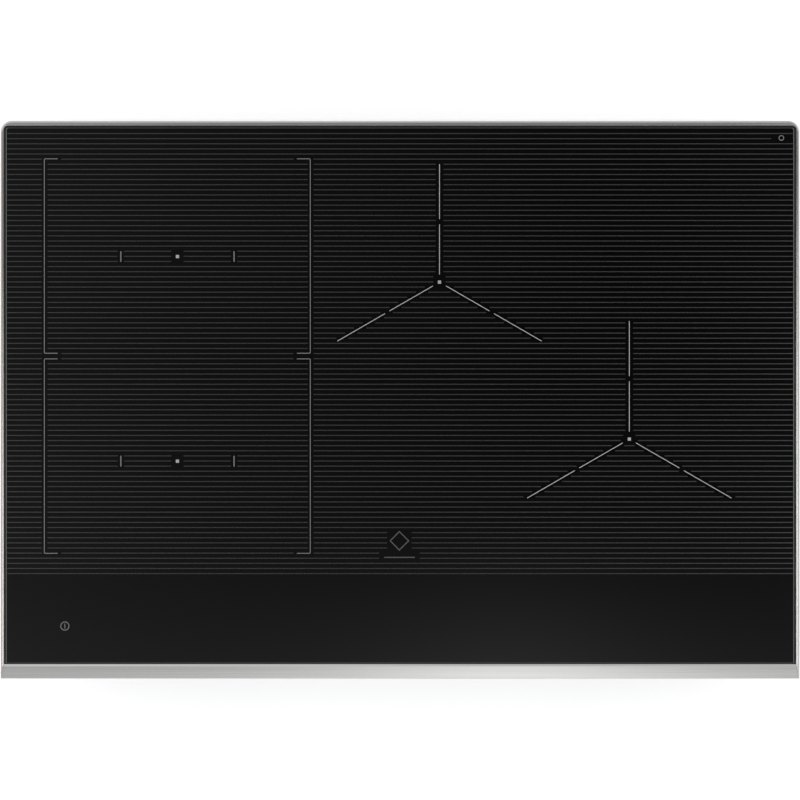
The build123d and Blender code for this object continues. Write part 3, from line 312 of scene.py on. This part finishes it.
def make_circuit_board():
    """A printed circuit board: green mask, raised tracks in both directions, and tinned pads."""
    board = Finish("green_circuit_board")
    drawn_out = board.stretched((0.35, 1.6, 1.0))
    rows = board.cells(260.0, "Distance", "DISTANCE_TO_EDGE", drawn_out)
    tracks = board.between(rows, 1.0, 0.0, start=0.03, end=0.06)
    pad = board.between(board.cells(210.0, "Distance"), 1.0, 0.0, start=0.20, end=0.23)
    mask = board.blend(tracks, (0.010, 0.105, 0.040), (0.030, 0.210, 0.090))
    board.colour(board.blend(pad, mask, (0.62, 0.60, 0.56)))
    board.rough(board.between(board.noise(300.0), low=0.22, high=0.34))
    board.relief(tracks, 0.03 * MM)
    return board.material


def make_copper_winding():
    """Enamelled copper litz: fine strands twisted round the bundle."""
    copper = Finish("litz_copper", metallic=1.0)
    strand = copper.waves(700.0, "DIAGONAL", distortion=2.0)
    copper.colour(copper.blend(strand, (0.36, 0.13, 0.05), (0.78, 0.36, 0.18)))
    copper.rough(copper.between(strand, low=0.42, high=0.26))
    copper.relief(strand, 0.05 * MM)
    return copper.material


def make_sleeving():
    """Woven glass-fibre sleeving, in a basket weave of two sets of yarns."""
    sleeve = Finish("woven_sleeving", roughness=0.7)
    weave = sleeve.work("MULTIPLY", sleeve.waves(520.0, "DIAGONAL"), sleeve.waves(520.0, "Z"))
    sleeve.colour(sleeve.blend(weave, (0.20, 0.03, 0.02), (0.50, 0.10, 0.06)))
    sleeve.relief(weave, 0.08 * MM)
    return sleeve.material


def make_mineral(name, colour, roughness, fleck, scale):
    """A pressed or fired mineral: a fine grain with scattered flecks of another shade."""
    mineral = Finish(name)
    flecks = mineral.between(mineral.cells(scale, "Distance"), 1.0, 0.0, start=0.12, end=0.30)
    grain = mineral.noise(scale, detail=4.0)
    body = mineral.blend(grain, scaled(colour, MINERAL_DARK), colour)
    mineral.colour(mineral.blend(flecks, body, fleck))
    mineral.rough(mineral.between(grain, roughness - MINERAL_ROUGHNESS, roughness + MINERAL_ROUGHNESS))
    mineral.relief(grain, 0.02 * MM)
    return mineral.material


def make_enamel(name, value, roughness=0.3, metallic=0.0):
    """Ceramic ink fired on to the glass: a halftone grain that is a little uneven."""
    enamel = Finish(name, metallic)
    grain = enamel.noise(2400.0, detail=2.0)
    enamel.colour(enamel.blend(grain, grey((1.0 - INK_SPREAD) * value), grey((1.0 + INK_SPREAD) * value)))
    enamel.rough(enamel.between(enamel.noise(300.0), roughness - INK_ROUGHNESS, roughness + INK_ROUGHNESS))
    return enamel.material


ROLLED_ALONG_X = (9.0, 1800.0, 1800.0)
TURNED_ABOUT_Z = (300.0, 300.0, 4000.0)
BRASS_TINT = (1.0, 0.76, 0.38)
slot_finishes = {
    "black_glass": make_black_glass(),
    "black_silicone": make_plastic("black_silicone", grey(0.006), 0.5, 900.0, 0.02, sheen=0.3),
    "foam_gasket": make_foam(),
    "black_steel": make_plastic("black_coated_steel", grey(0.028), 0.45, 700.0, 0.05),
    "zinc_steel": make_zinc_sheet(),
    "bright_steel": make_metal("bright_zinc_steel", 0.50, 0.66, (0.18, 0.30), 1500.0),
    "cast_zinc": make_metal("die_cast_zinc", 0.44, 0.56, (0.36, 0.50), 900.0, depth=0.04),
    "pale_plastic": make_plastic("natural_nylon", (0.66, 0.63, 0.54), 0.5),
    "black_plastic": make_plastic("black_nylon", grey(0.024), 0.5),
    "grey_plastic": make_plastic("grey_nylon", (0.20, 0.21, 0.23), 0.42),
    "green_board": make_circuit_board(),
    "sheet_aluminium": make_metal("rolled_aluminium", 0.62, 0.76, (0.28, 0.42), 1.0, ROLLED_ALONG_X),
    "copper_wire": make_copper_winding(),
    "silicone_sleeve": make_sleeving(),
    "brass_post": make_metal("turned_brass", 0.55, 0.72, (0.20, 0.32), 1.0, TURNED_ABOUT_Z, BRASS_TINT),
    "ferrite": make_mineral("ferrite", grey(0.045), 0.6, grey(0.08), 900.0),
    "mica": make_mineral("mica_sheet", (0.52, 0.45, 0.33), 0.35, (0.68, 0.62, 0.50), 260.0),
    "white_ceramic": make_mineral("alumina", (0.80, 0.79, 0.75), 0.4, (0.86, 0.85, 0.82), 1200.0),
    "carbon_rubber": make_plastic("carbon_rubber", grey(0.03), 0.7),
}
node_finishes = {
    "trim_rear_sides": make_brushed_trim("brushed_side_trim", True),
    "trim_front": make_brushed_trim("brushed_front_bar", False),
}


def dress(node, material):
    """Give a carried-over part its finish."""
    nodes[node].data.materials.clear()
    nodes[node].data.materials.append(material)


for subpart in frame["record"]["subparts"]:
    node = subpart["node"]
    if node in node_finishes:
        dress(node, node_finishes[node])
    else:
        dress(node, slot_finishes[subpart["material_slot"]])

# ---------------------------------------------------------------- printed marks on the glass

glass_low, glass_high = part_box("cooktop_glass")
PRINT_HEIGHT = 0.03 * MM
PRINT_SINK = 0.02 * MM
SHORTEST_RUN = 1e-12
# Across a printed line: shares of its width, and shares of its crown's height
SECTION_SHARES = np.array([-0.5, -0.42, -0.2, 0.2, 0.42, 0.5, 0.5, -0.5])
SECTION_HEIGHTS = np.array([0.0, 0.7, 1.0, 1.0, 0.7, 0.0, 0.0, 0.0]) * PRINT_HEIGHT
SECTION_HEIGHTS[-2:] = -PRINT_SINK


def make_piece(name, vertices, faces, material, body):
    """Put computed points and faces into a named piece that rides on a body."""
    mesh = bpy.data.meshes.new(name)
    mesh.from_pydata(np.asarray(vertices, float).reshape(-1, 3).tolist(), [], faces)
    mesh.materials.append(material)
    mesh.update()
    piece = bpy.data.objects.new(name, mesh)
    bpy.context.scene.collection.objects.link(piece)
    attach(piece, body)
    return piece


def grid_faces(rows, columns, start=0, close_rows=False):
    """Four-sided faces of a grid whose columns close on themselves, and its rows too if asked."""
    row = np.arange(rows if close_rows else rows - 1)[:, None]
    column = np.arange(columns)[None, :]
    next_row = (row + 1) % rows
    next_column = (column + 1) % columns
    corners = (
        row * columns + column,
        row * columns + next_column,
        next_row * columns + next_column,
        next_row * columns + column,
    )
    return (np.stack(np.broadcast_arrays(*corners), -1).reshape(-1, 4) + start).tolist()


def lay_line(path, width, closed=False, start=0):
    """A low crowned line of ink carried along a flat path.

    Each point of the section is the path's point, plus a share of the width along the path's
    sideways direction, plus the crown's height over the glass. At a bend the sideways direction
    is the mean of the two runs' and is lengthened by one over the cosine of half the turn.
    """
    path = np.asarray(path, float)
    runs = np.roll(path, -1, 0) - path
    runs = runs / np.maximum(np.linalg.norm(runs, axis=1, keepdims=True), SHORTEST_RUN)
    before = np.roll(runs, 1, 0)
    if not closed:
        runs[-1] = runs[-2]
        before[0] = runs[0]
    sideways = np.stack([-(runs + before)[:, 1], (runs + before)[:, 0]], 1)
    sideways = 2.0 * sideways / (sideways**2).sum(1, keepdims=True)
    flat = path[:, None, :] + sideways[:, None, :] * (SECTION_SHARES * width)[None, :, None]
    heights = np.broadcast_to(glass_high.z + SECTION_HEIGHTS, flat.shape[:2])
    vertices = np.concatenate([flat, heights[:, :, None]], 2)
    count = len(SECTION_SHARES)
    faces = grid_faces(len(path), count, start, closed)
    if not closed:
        last = start + (len(path) - 1) * count
        faces.append(list(range(start, start + count)))
        faces.append(list(range(last + count - 1, last - 1, -1)))
    return vertices.reshape(-1, 3), faces


def print_lines(name, paths, width, material, closed=False):
    """One piece made of several printed lines of the same width."""
    vertices, faces = [], []
    for path in paths:
        made, more = lay_line(path, width, closed, sum(len(part) for part in vertices))
        vertices.append(made)
        faces += more
    return make_piece(name, np.concatenate(vertices), faces, material, "cooktop")


def arc_points(centre, radius, start, end, count):
    """Points of an arc: the centre plus the radius times the cosine and sine of each angle."""
    angles = np.radians(np.linspace(start, end, count))
    return np.stack([centre[0] + radius * np.cos(angles), centre[1] + radius * np.sin(angles)], 1)


def ring_points(centre, radius, count):
    """Points evenly round a whole circle, the first of them straight to the right of its centre."""
    return arc_points(centre, radius, 0.0, 360.0 * (count - 1) / count, count)


def zone_centre(zone):
    """The middle of a cooking zone, over its coil's sensor."""
    low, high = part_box(f"{zone}_sensor")
    return np.array([(low.x + high.x) / 2, (low.y + high.y) / 2])


stripe_ink = make_enamel("lustre_line_ink", 0.043, 0.30, metallic=0.75)
bracket_ink = make_enamel("mid_grey_ink", 0.19)
pale_ink = make_enamel("pale_ink", 0.40)
arm_ink = make_enamel("pale_arm_ink", 0.48)
power_ink = make_enamel("power_mark_ink", 0.17)
emblem_ink = make_enamel("dim_emblem_ink", 0.075)

left_centres = [zone_centre("left_rear"), zone_centre("left_front")]
right_centres = [zone_centre("right_rear"), zone_centre("right_front")]

# The linked left zone: two brackets on each side, drawn round the pair of coils
BRACKET_WIDTH = 0.7 * MM
BRACKET_HOOK = 13.0 * MM
BRACKET_CORNER = 0.8 * MM
BRACKET_CORNER_POINTS = 5
BRACKET_LEFT = left_centres[0][0] - 130.1 * MM
BRACKET_RIGHT = left_centres[0][0] + 129.8 * MM
# How far each bracket reaches behind its zone's centre, and how far in front of it
BRACKET_REACHES = ((95.5 * MM, 94.5 * MM), (100.0 * MM, 90.0 * MM))
BRACKET_SPANS = [
    (centre[1] + behind, centre[1] - ahead)
    for centre, (behind, ahead) in zip(left_centres, BRACKET_REACHES)
]


def bracket_path(line_x, hook, rear, front):
    """A bracket from hook to hook: a straight, a quarter circle, the long side, and back again."""
    side = np.sign(hook)
    radius = BRACKET_CORNER
    inner = line_x + side * radius
    turn = 180.0 if side > 0 else 0.0
    last_turn = 270.0 if side > 0 else -90.0
    rear_bend = arc_points((inner, rear - radius), radius, 90.0, turn, BRACKET_CORNER_POINTS)
    front_bend = arc_points((inner, front + radius), radius, turn, last_turn, BRACKET_CORNER_POINTS)
    tips = [[(line_x + hook, rear)], [(line_x + hook, front)]]
    return np.concatenate([tips[0], rear_bend, front_bend, tips[1]])


bracket_paths = [
    bracket_path(line_x, hook, rear, front)
    for line_x, hook in ((BRACKET_LEFT, BRACKET_HOOK), (BRACKET_RIGHT, -BRACKET_HOOK))
    for rear, front in BRACKET_SPANS
]
print_lines("linked_zone_brackets", bracket_paths, BRACKET_WIDTH, bracket_ink)

# A square at the middle of every zone, and a tick on each side of it in the left zones
SQUARE = 3.1 * MM
TICK_OFFSET = 55.3 * MM
TICK_LENGTH = 10.4 * MM
TICK_WIDTH = 1.1 * MM


def upright(x, y, length):
    """A short straight line along Y with its middle at a point."""
    return [(x, y - length / 2), (x, y + length / 2)]


square_paths = [upright(*centre, SQUARE) for centre in left_centres + right_centres]
print_lines("zone_centre_squares", square_paths, SQUARE, pale_ink)
tick_places = [(centre[0] + side * TICK_OFFSET, centre[1]) for centre in left_centres for side in (-1, 1)]
tick_paths = [upright(*place, TICK_LENGTH) for place in tick_places]
print_lines("left_zone_ticks", tick_paths, TICK_WIDTH, power_ink)

# Three arms at each right zone, each with a small gap halfway
ARM_ANGLES = (90.0, 210.0, 330.0)
ARM_START = 7.4 * MM
ARM_END = 115.3 * MM
ARM_GAP = 59.0 * MM
ARM_GAP_HALF = 2.6 * MM
ARM_WIDTH = 0.62 * MM


def arm_paths(centre):
    """Six straight lines: an inner and an outer length along each of the three directions."""
    spans = ((ARM_START, ARM_GAP - ARM_GAP_HALF), (ARM_GAP + ARM_GAP_HALF, ARM_END))
    directions = [np.array([np.cos(angle), np.sin(angle)]) for angle in np.radians(ARM_ANGLES)]
    return [[centre + near * way, centre + far * way] for way in directions for near, far in spans]


print_lines("right_zone_arms", arm_paths(right_centres[0]) + arm_paths(right_centres[1]), ARM_WIDTH, arm_ink)

# The power key's mark: a ring with an upright bar inside it
POWER_CENTRE = (glass_low.x + 57.8 * MM, glass_low.y + 36.5 * MM)
POWER_RADIUS = 4.0 * MM
POWER_LINE = 0.8 * MM
POWER_BAR = 4.8 * MM
POWER_RING_POINTS = 48
power_ring_path = ring_points(POWER_CENTRE, POWER_RADIUS, POWER_RING_POINTS)
print_lines("power_mark_ring", [power_ring_path], POWER_LINE, power_ink, closed=True)
print_lines("power_mark_bar", [upright(*POWER_CENTRE, POWER_BAR)], POWER_LINE, power_ink)

# A plain lozenge over a short bar at the front of the cooking area, and a small ring at the rear right
EMBLEM_CENTRE = (-0.6 * MM, glass_low.y + 119.8 * MM)
EMBLEM_HALF = 9.0 * MM
EMBLEM_LINE = 1.0 * MM
EMBLEM_BAR = 30.0 * MM
EMBLEM_BAR_DROP = 16.2 * MM
CORNER_RING_CENTRE = (glass_high.x - 12.6 * MM, glass_high.y - 10.2 * MM)
CORNER_RING_RADIUS = 2.3 * MM
CORNER_RING_POINTS = 24
LOZENGE_POINTS = 4
lozenge_path = ring_points(EMBLEM_CENTRE, EMBLEM_HALF, LOZENGE_POINTS)
print_lines("front_emblem_lozenge", [lozenge_path], EMBLEM_LINE, emblem_ink, closed=True)
emblem_bar_y = EMBLEM_CENTRE[1] - EMBLEM_BAR_DROP
emblem_bar_path = [(EMBLEM_CENTRE[0] + side * EMBLEM_BAR / 2, emblem_bar_y) for side in (-1, 1)]
print_lines("front_emblem_bar", [emblem_bar_path], EMBLEM_LINE, emblem_ink)
corner_ring_path = ring_points(CORNER_RING_CENTRE, CORNER_RING_RADIUS, CORNER_RING_POINTS)
print_lines("corner_ring", [corner_ring_path], POWER_LINE, power_ink, closed=True)

# Fine lines across the cooking area, left out round every mark
STRIPE_WIDTH = 0.9 * MM
STRIPE_PITCH = 5.0 * MM
STRIPE_COUNT = 87
STRIPE_REAR = glass_high.y - 5.9 * MM
STRIPE_END = 1.0 * MM
NEAR_SIDE = 2.4 * MM
FAR_SIDE = 3.2 * MM
PAST_HOOK = 3.4 * MM
SQUARE_CLEAR = 6.0 * MM
ARM_CLEAR = 3.8 * MM
SLANT_CLEAR = 6.0 * MM
EMBLEM_CLEAR = 12.0 * MM
EMBLEM_BAR_CLEAR = 20.0 * MM
CORNER_CLEAR = 10.0 * MM
ROW_SLACK = 1.0 * MM


def bracket_gaps(y):
    """The stretches of one stripe that the brackets take up."""
    gaps = []
    for rear, front in BRACKET_SPANS:
        if front - ROW_SLACK < y < rear + ROW_SLACK:
            on_hook = min(abs(y - rear), abs(y - front)) < ROW_SLACK
            reach = BRACKET_HOOK + PAST_HOOK if on_hook else FAR_SIDE
            back = BRACKET_HOOK + PAST_HOOK if on_hook else NEAR_SIDE
            gaps.append((BRACKET_LEFT - NEAR_SIDE, BRACKET_LEFT + reach))
            gaps.append((BRACKET_RIGHT - back, BRACKET_RIGHT + FAR_SIDE))
    return gaps


def arm_gaps(y):
    """The stretches of one stripe that the right zones' arms take up."""
    gaps = []
    for x, middle in right_centres:
        rise = y - middle
        if 0 < rise < ARM_END + ROW_SLACK:
            gaps.append((x - ARM_CLEAR, x + ARM_CLEAR))
        elif -ARM_END / 2 < rise < 0:
            run = -rise * np.sqrt(3.0)
            gaps += [(x + side * run - SLANT_CLEAR, x + side * run + SLANT_CLEAR) for side in (-1, 1)]
    return gaps


def mark_gaps(y):
    """The stretches of one stripe that the squares, the ticks, the emblem and the corner ring take up."""
    gaps = []
    for x, middle in left_centres + right_centres:
        if abs(y - middle) < STRIPE_PITCH + ROW_SLACK:
            gaps.append((x - SQUARE_CLEAR, x + SQUARE_CLEAR))
    for x, middle in tick_places:
        if abs(y - middle) < TICK_LENGTH / 2 + ROW_SLACK:
            gaps.append((x - FAR_SIDE, x + FAR_SIDE))
    emblem_x, emblem_y = EMBLEM_CENTRE
    if abs(y - emblem_y) < EMBLEM_HALF + ROW_SLACK:
        gaps.append((emblem_x - EMBLEM_CLEAR, emblem_x + EMBLEM_CLEAR))
    if abs(y - emblem_bar_y) < STRIPE_PITCH:
        gaps.append((emblem_x - EMBLEM_BAR_CLEAR, emblem_x + EMBLEM_BAR_CLEAR))
    corner_x, corner_y = CORNER_RING_CENTRE
    if abs(y - corner_y) < CORNER_RING_RADIUS + ROW_SLACK:
        gaps.append((corner_x - CORNER_CLEAR, glass_high.x))
    return gaps


def stripe_runs(y):
    """What is left of one stripe between its gaps, from left to right."""
    runs = []
    reached = glass_low.x + STRIPE_END
    for start, end in sorted(bracket_gaps(y) + arm_gaps(y) + mark_gaps(y)):
        if start > reached:
            runs.append([(reached, y), (start, y)])
        reached = max(reached, end)
    last = glass_high.x - STRIPE_END
    if reached < last:
        runs.append([(reached, y), (last, y)])
    return runs


stripe_rows = STRIPE_REAR - STRIPE_PITCH * np.arange(STRIPE_COUNT)
stripe_paths = [run for y in stripe_rows for run in stripe_runs(y)]
print_lines("printed_stripes", stripe_paths, STRIPE_WIDTH, stripe_ink)

# ---------------------------------------------------------------- clamp screws with their threads

THREAD_PITCH = 1.27 * MM
THREAD_DEPTH = 0.75 * MM
THREAD_RADIUS = 3.15 * MM
THREAD_END_RADIUS = 2.65 * MM
# The wave of the thread is drawn past its range and cut off there, for flat crests and roots
GROOVE_STRETCH = 1.15
GROOVE_CUT = 0.05
ROWS_PER_TURN = 8
COLUMNS = 48
HEAD_HEIGHT = 4.2 * MM
TIP_HEIGHT = 3.0 * MM
TIP_RADIUS = 2.0 * MM
# Up the head and then up the tip: shares of its height, and shares of its radius there
HEAD_HEIGHTS = np.array([0.0, 0.0, 0.12, 0.5, 0.88, 1.0])
HEAD_RADII = np.array([0.0, 0.86, 0.97, 1.1, 0.97, 0.9])
TIP_HEIGHTS = np.array([0.0, 0.85, 1.0, 1.0])
TIP_RADII = np.array([1.0, 1.0, 0.85, 0.0])


def cut_screw(side):
    """A hexagon-headed screw: a surface of circles stacked up the axis, closed by a point at each end.

    On the shank the radius is the thread's outer radius less its depth times a triangle wave of the
    height over the pitch minus the angle over a full turn. The wave is stretched and cut off, so that
    crests and roots are flat, and it fades out over the first and last pitch. On the head the radius
    is the hexagon's, cut off by a circle that narrows towards both faces.
    """
    low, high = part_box(f"{side}_clamp_screw")
    centre = ((low.x + high.x) / 2, (low.y + high.y) / 2)
    corner = (high.y - low.y) / 2
    flat = corner * np.cos(np.pi / 6)
    angles = np.linspace(0.0, 2 * np.pi, COLUMNS, endpoint=False)
    sixth = (angles + np.pi / 6) % (np.pi / 3) - np.pi / 6
    hexagon = flat / np.cos(sixth)
    head = np.minimum(hexagon[None, :], HEAD_RADII[:, None] * corner)
    shank_length = high.z - low.z - HEAD_HEIGHT - TIP_HEIGHT
    shank_rows = int(shank_length / THREAD_PITCH * ROWS_PER_TURN)
    shank_z = np.linspace(0.0, shank_length, shank_rows)
    phase = (shank_z[:, None] / THREAD_PITCH - angles[None, :] / (2 * np.pi)) % 1.0
    groove = np.clip(GROOVE_STRETCH * (1.0 - np.abs(2.0 * phase - 1.0)) - GROOVE_CUT, 0.0, 1.0)
    fade = np.clip(np.minimum(shank_z, shank_length - shank_z) / THREAD_PITCH, 0.0, 1.0)[:, None]
    shank = THREAD_RADIUS - THREAD_DEPTH * groove * fade
    shank[-1] = THREAD_END_RADIUS
    tip = TIP_RADII[:, None] * TIP_RADIUS * np.ones(COLUMNS)
    head_z = HEAD_HEIGHTS * HEAD_HEIGHT
    tip_z = HEAD_HEIGHT + shank_length + TIP_HEIGHTS * TIP_HEIGHT
    heights = np.concatenate([head_z, HEAD_HEIGHT + shank_z, tip_z])
    radii = np.concatenate([head, shank, tip])
    rings = np.stack(
        [
            centre[0] + radii * np.cos(angles),
            centre[1] + radii * np.sin(angles),
            low.z + np.broadcast_to(heights[:, None], radii.shape),
        ],
        2,
    )
    body = rings[1:-1]
    rows = len(body)
    vertices = np.concatenate([body.reshape(-1, 3), rings[0, :1], rings[-1, :1]])
    bottom, top = rows * COLUMNS, rows * COLUMNS + 1
    column = np.arange(COLUMNS)
    next_column = (column + 1) % COLUMNS
    last_row = (rows - 1) * COLUMNS
    faces = grid_faces(rows, COLUMNS)
    faces += np.stack([np.full(COLUMNS, bottom), next_column, column], 1).tolist()
    faces += np.stack([np.full(COLUMNS, top), last_row + column, last_row + next_column], 1).tolist()
    steel = slot_finishes["bright_steel"]
    screw = f"{side}_clamp_screw"
    piece = make_piece(f"{screw}_thread", vertices, faces, steel, screw)
    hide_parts(screw)


for side in ("left", "right"):
    cut_screw(side)

# ---------------------------------------------------------------- floor, light and camera

FLOOR_HALF = 6.0
FLOOR_GLOW = 0.44


def lay_floor():
    """A flat pale floor at the lowest point, lit a little from inside as a light table is."""
    mesh = bpy.data.meshes.new("studio_floor")
    corners = [(x * FLOOR_HALF, y * FLOOR_HALF, cad_low.z) for x, y in ((-1, -1), (1, -1), (1, 1), (-1, 1))]
    mesh.from_pydata(corners, [], [(0, 1, 2, 3)])
    finish = Finish("pale_floor", roughness=0.7)
    finish.colour(finish.blend(finish.noise(40.0, detail=2.0), grey(0.84), grey(0.86)))
    finish.feed(finish.shader.inputs["Emission Color"], grey(1.0))
    finish.feed(finish.shader.inputs["Emission Strength"], FLOOR_GLOW)
    mesh.materials.append(finish.material)
    floor = bpy.data.objects.new("studio_floor", mesh)
    bpy.context.scene.collection.objects.link(floor)


lay_floor()

# The dome's brightness by the sine of the angle from its dimmest point, as shares of the greatest
DIM_CENTRE = (0.10, 0.06)
DOME_GREATEST = 1.6
DOME_STOPS = (
    (0.0, 0.02),
    (0.10, 0.045),
    (0.20, 0.075),
    (0.28, 0.11),
    (0.38, 0.20),
    (0.60, 0.27),
    (1.0, 0.34),
)
# Each soft light: where it starts and where it is full along its own side, and its brightness
FRONT_LIGHT = (0.04, 0.25, 1.15)
FRONT_GLOW_MIDDLE = 0.05
FRONT_GLOW_HALF = 0.072
FRONT_GLOW_LEAST = 0.20
REAR_LIGHT = (0.12, 0.15, 0.60)
RIGHT_LIGHT = (0.180, 0.205, 3.2)
RIGHT_LIGHT_REAR_END = (-0.10, 0.00)
LEFT_LIGHT = (0.180, 0.205, 2.6)
LEFT_LIGHT_REAR_END = (-0.06, 0.05)
SIDE_LIGHT_FRONT_END = (0.24, 0.13)
SIDE_LIGHT_OUTER_END = (0.48, 0.36)
# Close to the horizon the dome is as white as the floor
HORIZON = (0.24, 0.08, 1.0)
# The dome is darker towards the rear right: where that starts and is full, and its depth
SHADE_REAR = (0.15, 0.55, 0.4)
SHADE_RIGHT = (-0.25, 0.25)


def light_dome():
    """A soft white dome, dim overhead, with wide soft lights at the front, the right and the left."""
    world = bpy.data.worlds.new("studio_dome")
    bpy.context.scene.world = world
    world.use_nodes = True
    dome = NodeWork(world.node_tree)
    way = dome.add("ShaderNodeTexCoord").outputs["Generated"]
    right, rear = dome.axis(way, "X"), dome.axis(way, "Y")
    left, front = dome.work("MULTIPLY", right, -1.0), dome.work("MULTIPLY", rear, -1.0)

    def rise(value, start, end, height=1.0):
        """A smooth rise from 0 at start to height at end."""
        return dome.between(value, 0.0, height, start, end, "SMOOTHSTEP")

    off_x = dome.work("SUBTRACT", right, DIM_CENTRE[0])
    off_y = dome.work("SUBTRACT", rear, DIM_CENTRE[1])
    squares = dome.work("ADD", dome.work("MULTIPLY", off_x, off_x), dome.work("MULTIPLY", off_y, off_y))
    ramp = dome.add("ShaderNodeValToRGB")
    ramp.color_ramp.interpolation = "B_SPLINE"
    # A new ramp has two stops already
    for position, _ in DOME_STOPS[2:]:
        ramp.color_ramp.elements.new(position)
    for element, (position, value) in zip(ramp.color_ramp.elements, DOME_STOPS):
        element.position = position
        element.color = (*grey(value), 1.0)
    dome.feed(ramp.inputs["Fac"], dome.work("SQRT", squares))
    shade = dome.work("MULTIPLY", rise(rear, *SHADE_REAR), rise(right, *SHADE_RIGHT))
    sky = dome.work("MULTIPLY", ramp.outputs["Color"], DOME_GREATEST)
    sky = dome.work("MULTIPLY", sky, dome.work("SUBTRACT", 1.0, shade))

    # One over one plus the square of the distance from the glow's middle over its half width
    from_glow = dome.work("DIVIDE", dome.work("SUBTRACT", right, FRONT_GLOW_MIDDLE), FRONT_GLOW_HALF)
    glow = dome.work("DIVIDE", 1.0, dome.work("ADD", 1.0, dome.work("MULTIPLY", from_glow, from_glow)))
    glow = dome.between(glow, FRONT_GLOW_LEAST, 1.0)
    lights = dome.work("ADD", dome.work("MULTIPLY", rise(front, *FRONT_LIGHT), glow), rise(rear, *REAR_LIGHT))
    front_end = rise(front, *SIDE_LIGHT_FRONT_END)
    for side, light, rear_end in (
        (right, RIGHT_LIGHT, RIGHT_LIGHT_REAR_END),
        (left, LEFT_LIGHT, LEFT_LIGHT_REAR_END),
    ):
        along = dome.work("MULTIPLY", rise(front, *rear_end), front_end)
        across = dome.work("MULTIPLY", rise(side, *light), rise(side, *SIDE_LIGHT_OUTER_END))
        lights = dome.work("ADD", lights, dome.work("MULTIPLY", across, along))

    horizon = rise(dome.axis(way, "Z"), *HORIZON)
    above = dome.work("MULTIPLY", dome.work("ADD", sky, lights), dome.work("SUBTRACT", 1.0, horizon))
    background = dome.tree.nodes["Background"]
    dome.feed(background.inputs["Color"], grey(1.0))
    dome.feed(background.inputs["Strength"], dome.work("ADD", above, horizon))


light_dome()

# The camera looks straight down, from where its view is that wide at the height of the top
VIEW_WIDTH = 0.7816
VIEW_CENTRE = (0.0, -0.2 * MM)
LENS_MM = 100.0
SENSOR_MM = 36.0
camera_data = bpy.data.cameras.new("overhead_camera")
camera_data.lens = LENS_MM
camera_data.sensor_width = SENSOR_MM
camera = bpy.data.objects.new("overhead_camera", camera_data)
camera.location = (*VIEW_CENTRE, cad_high.z + VIEW_WIDTH * LENS_MM / SENSOR_MM)
bpy.context.scene.collection.objects.link(camera)
bpy.context.scene.camera = camera
bpy.context.scene.view_settings.view_transform = "Standard"
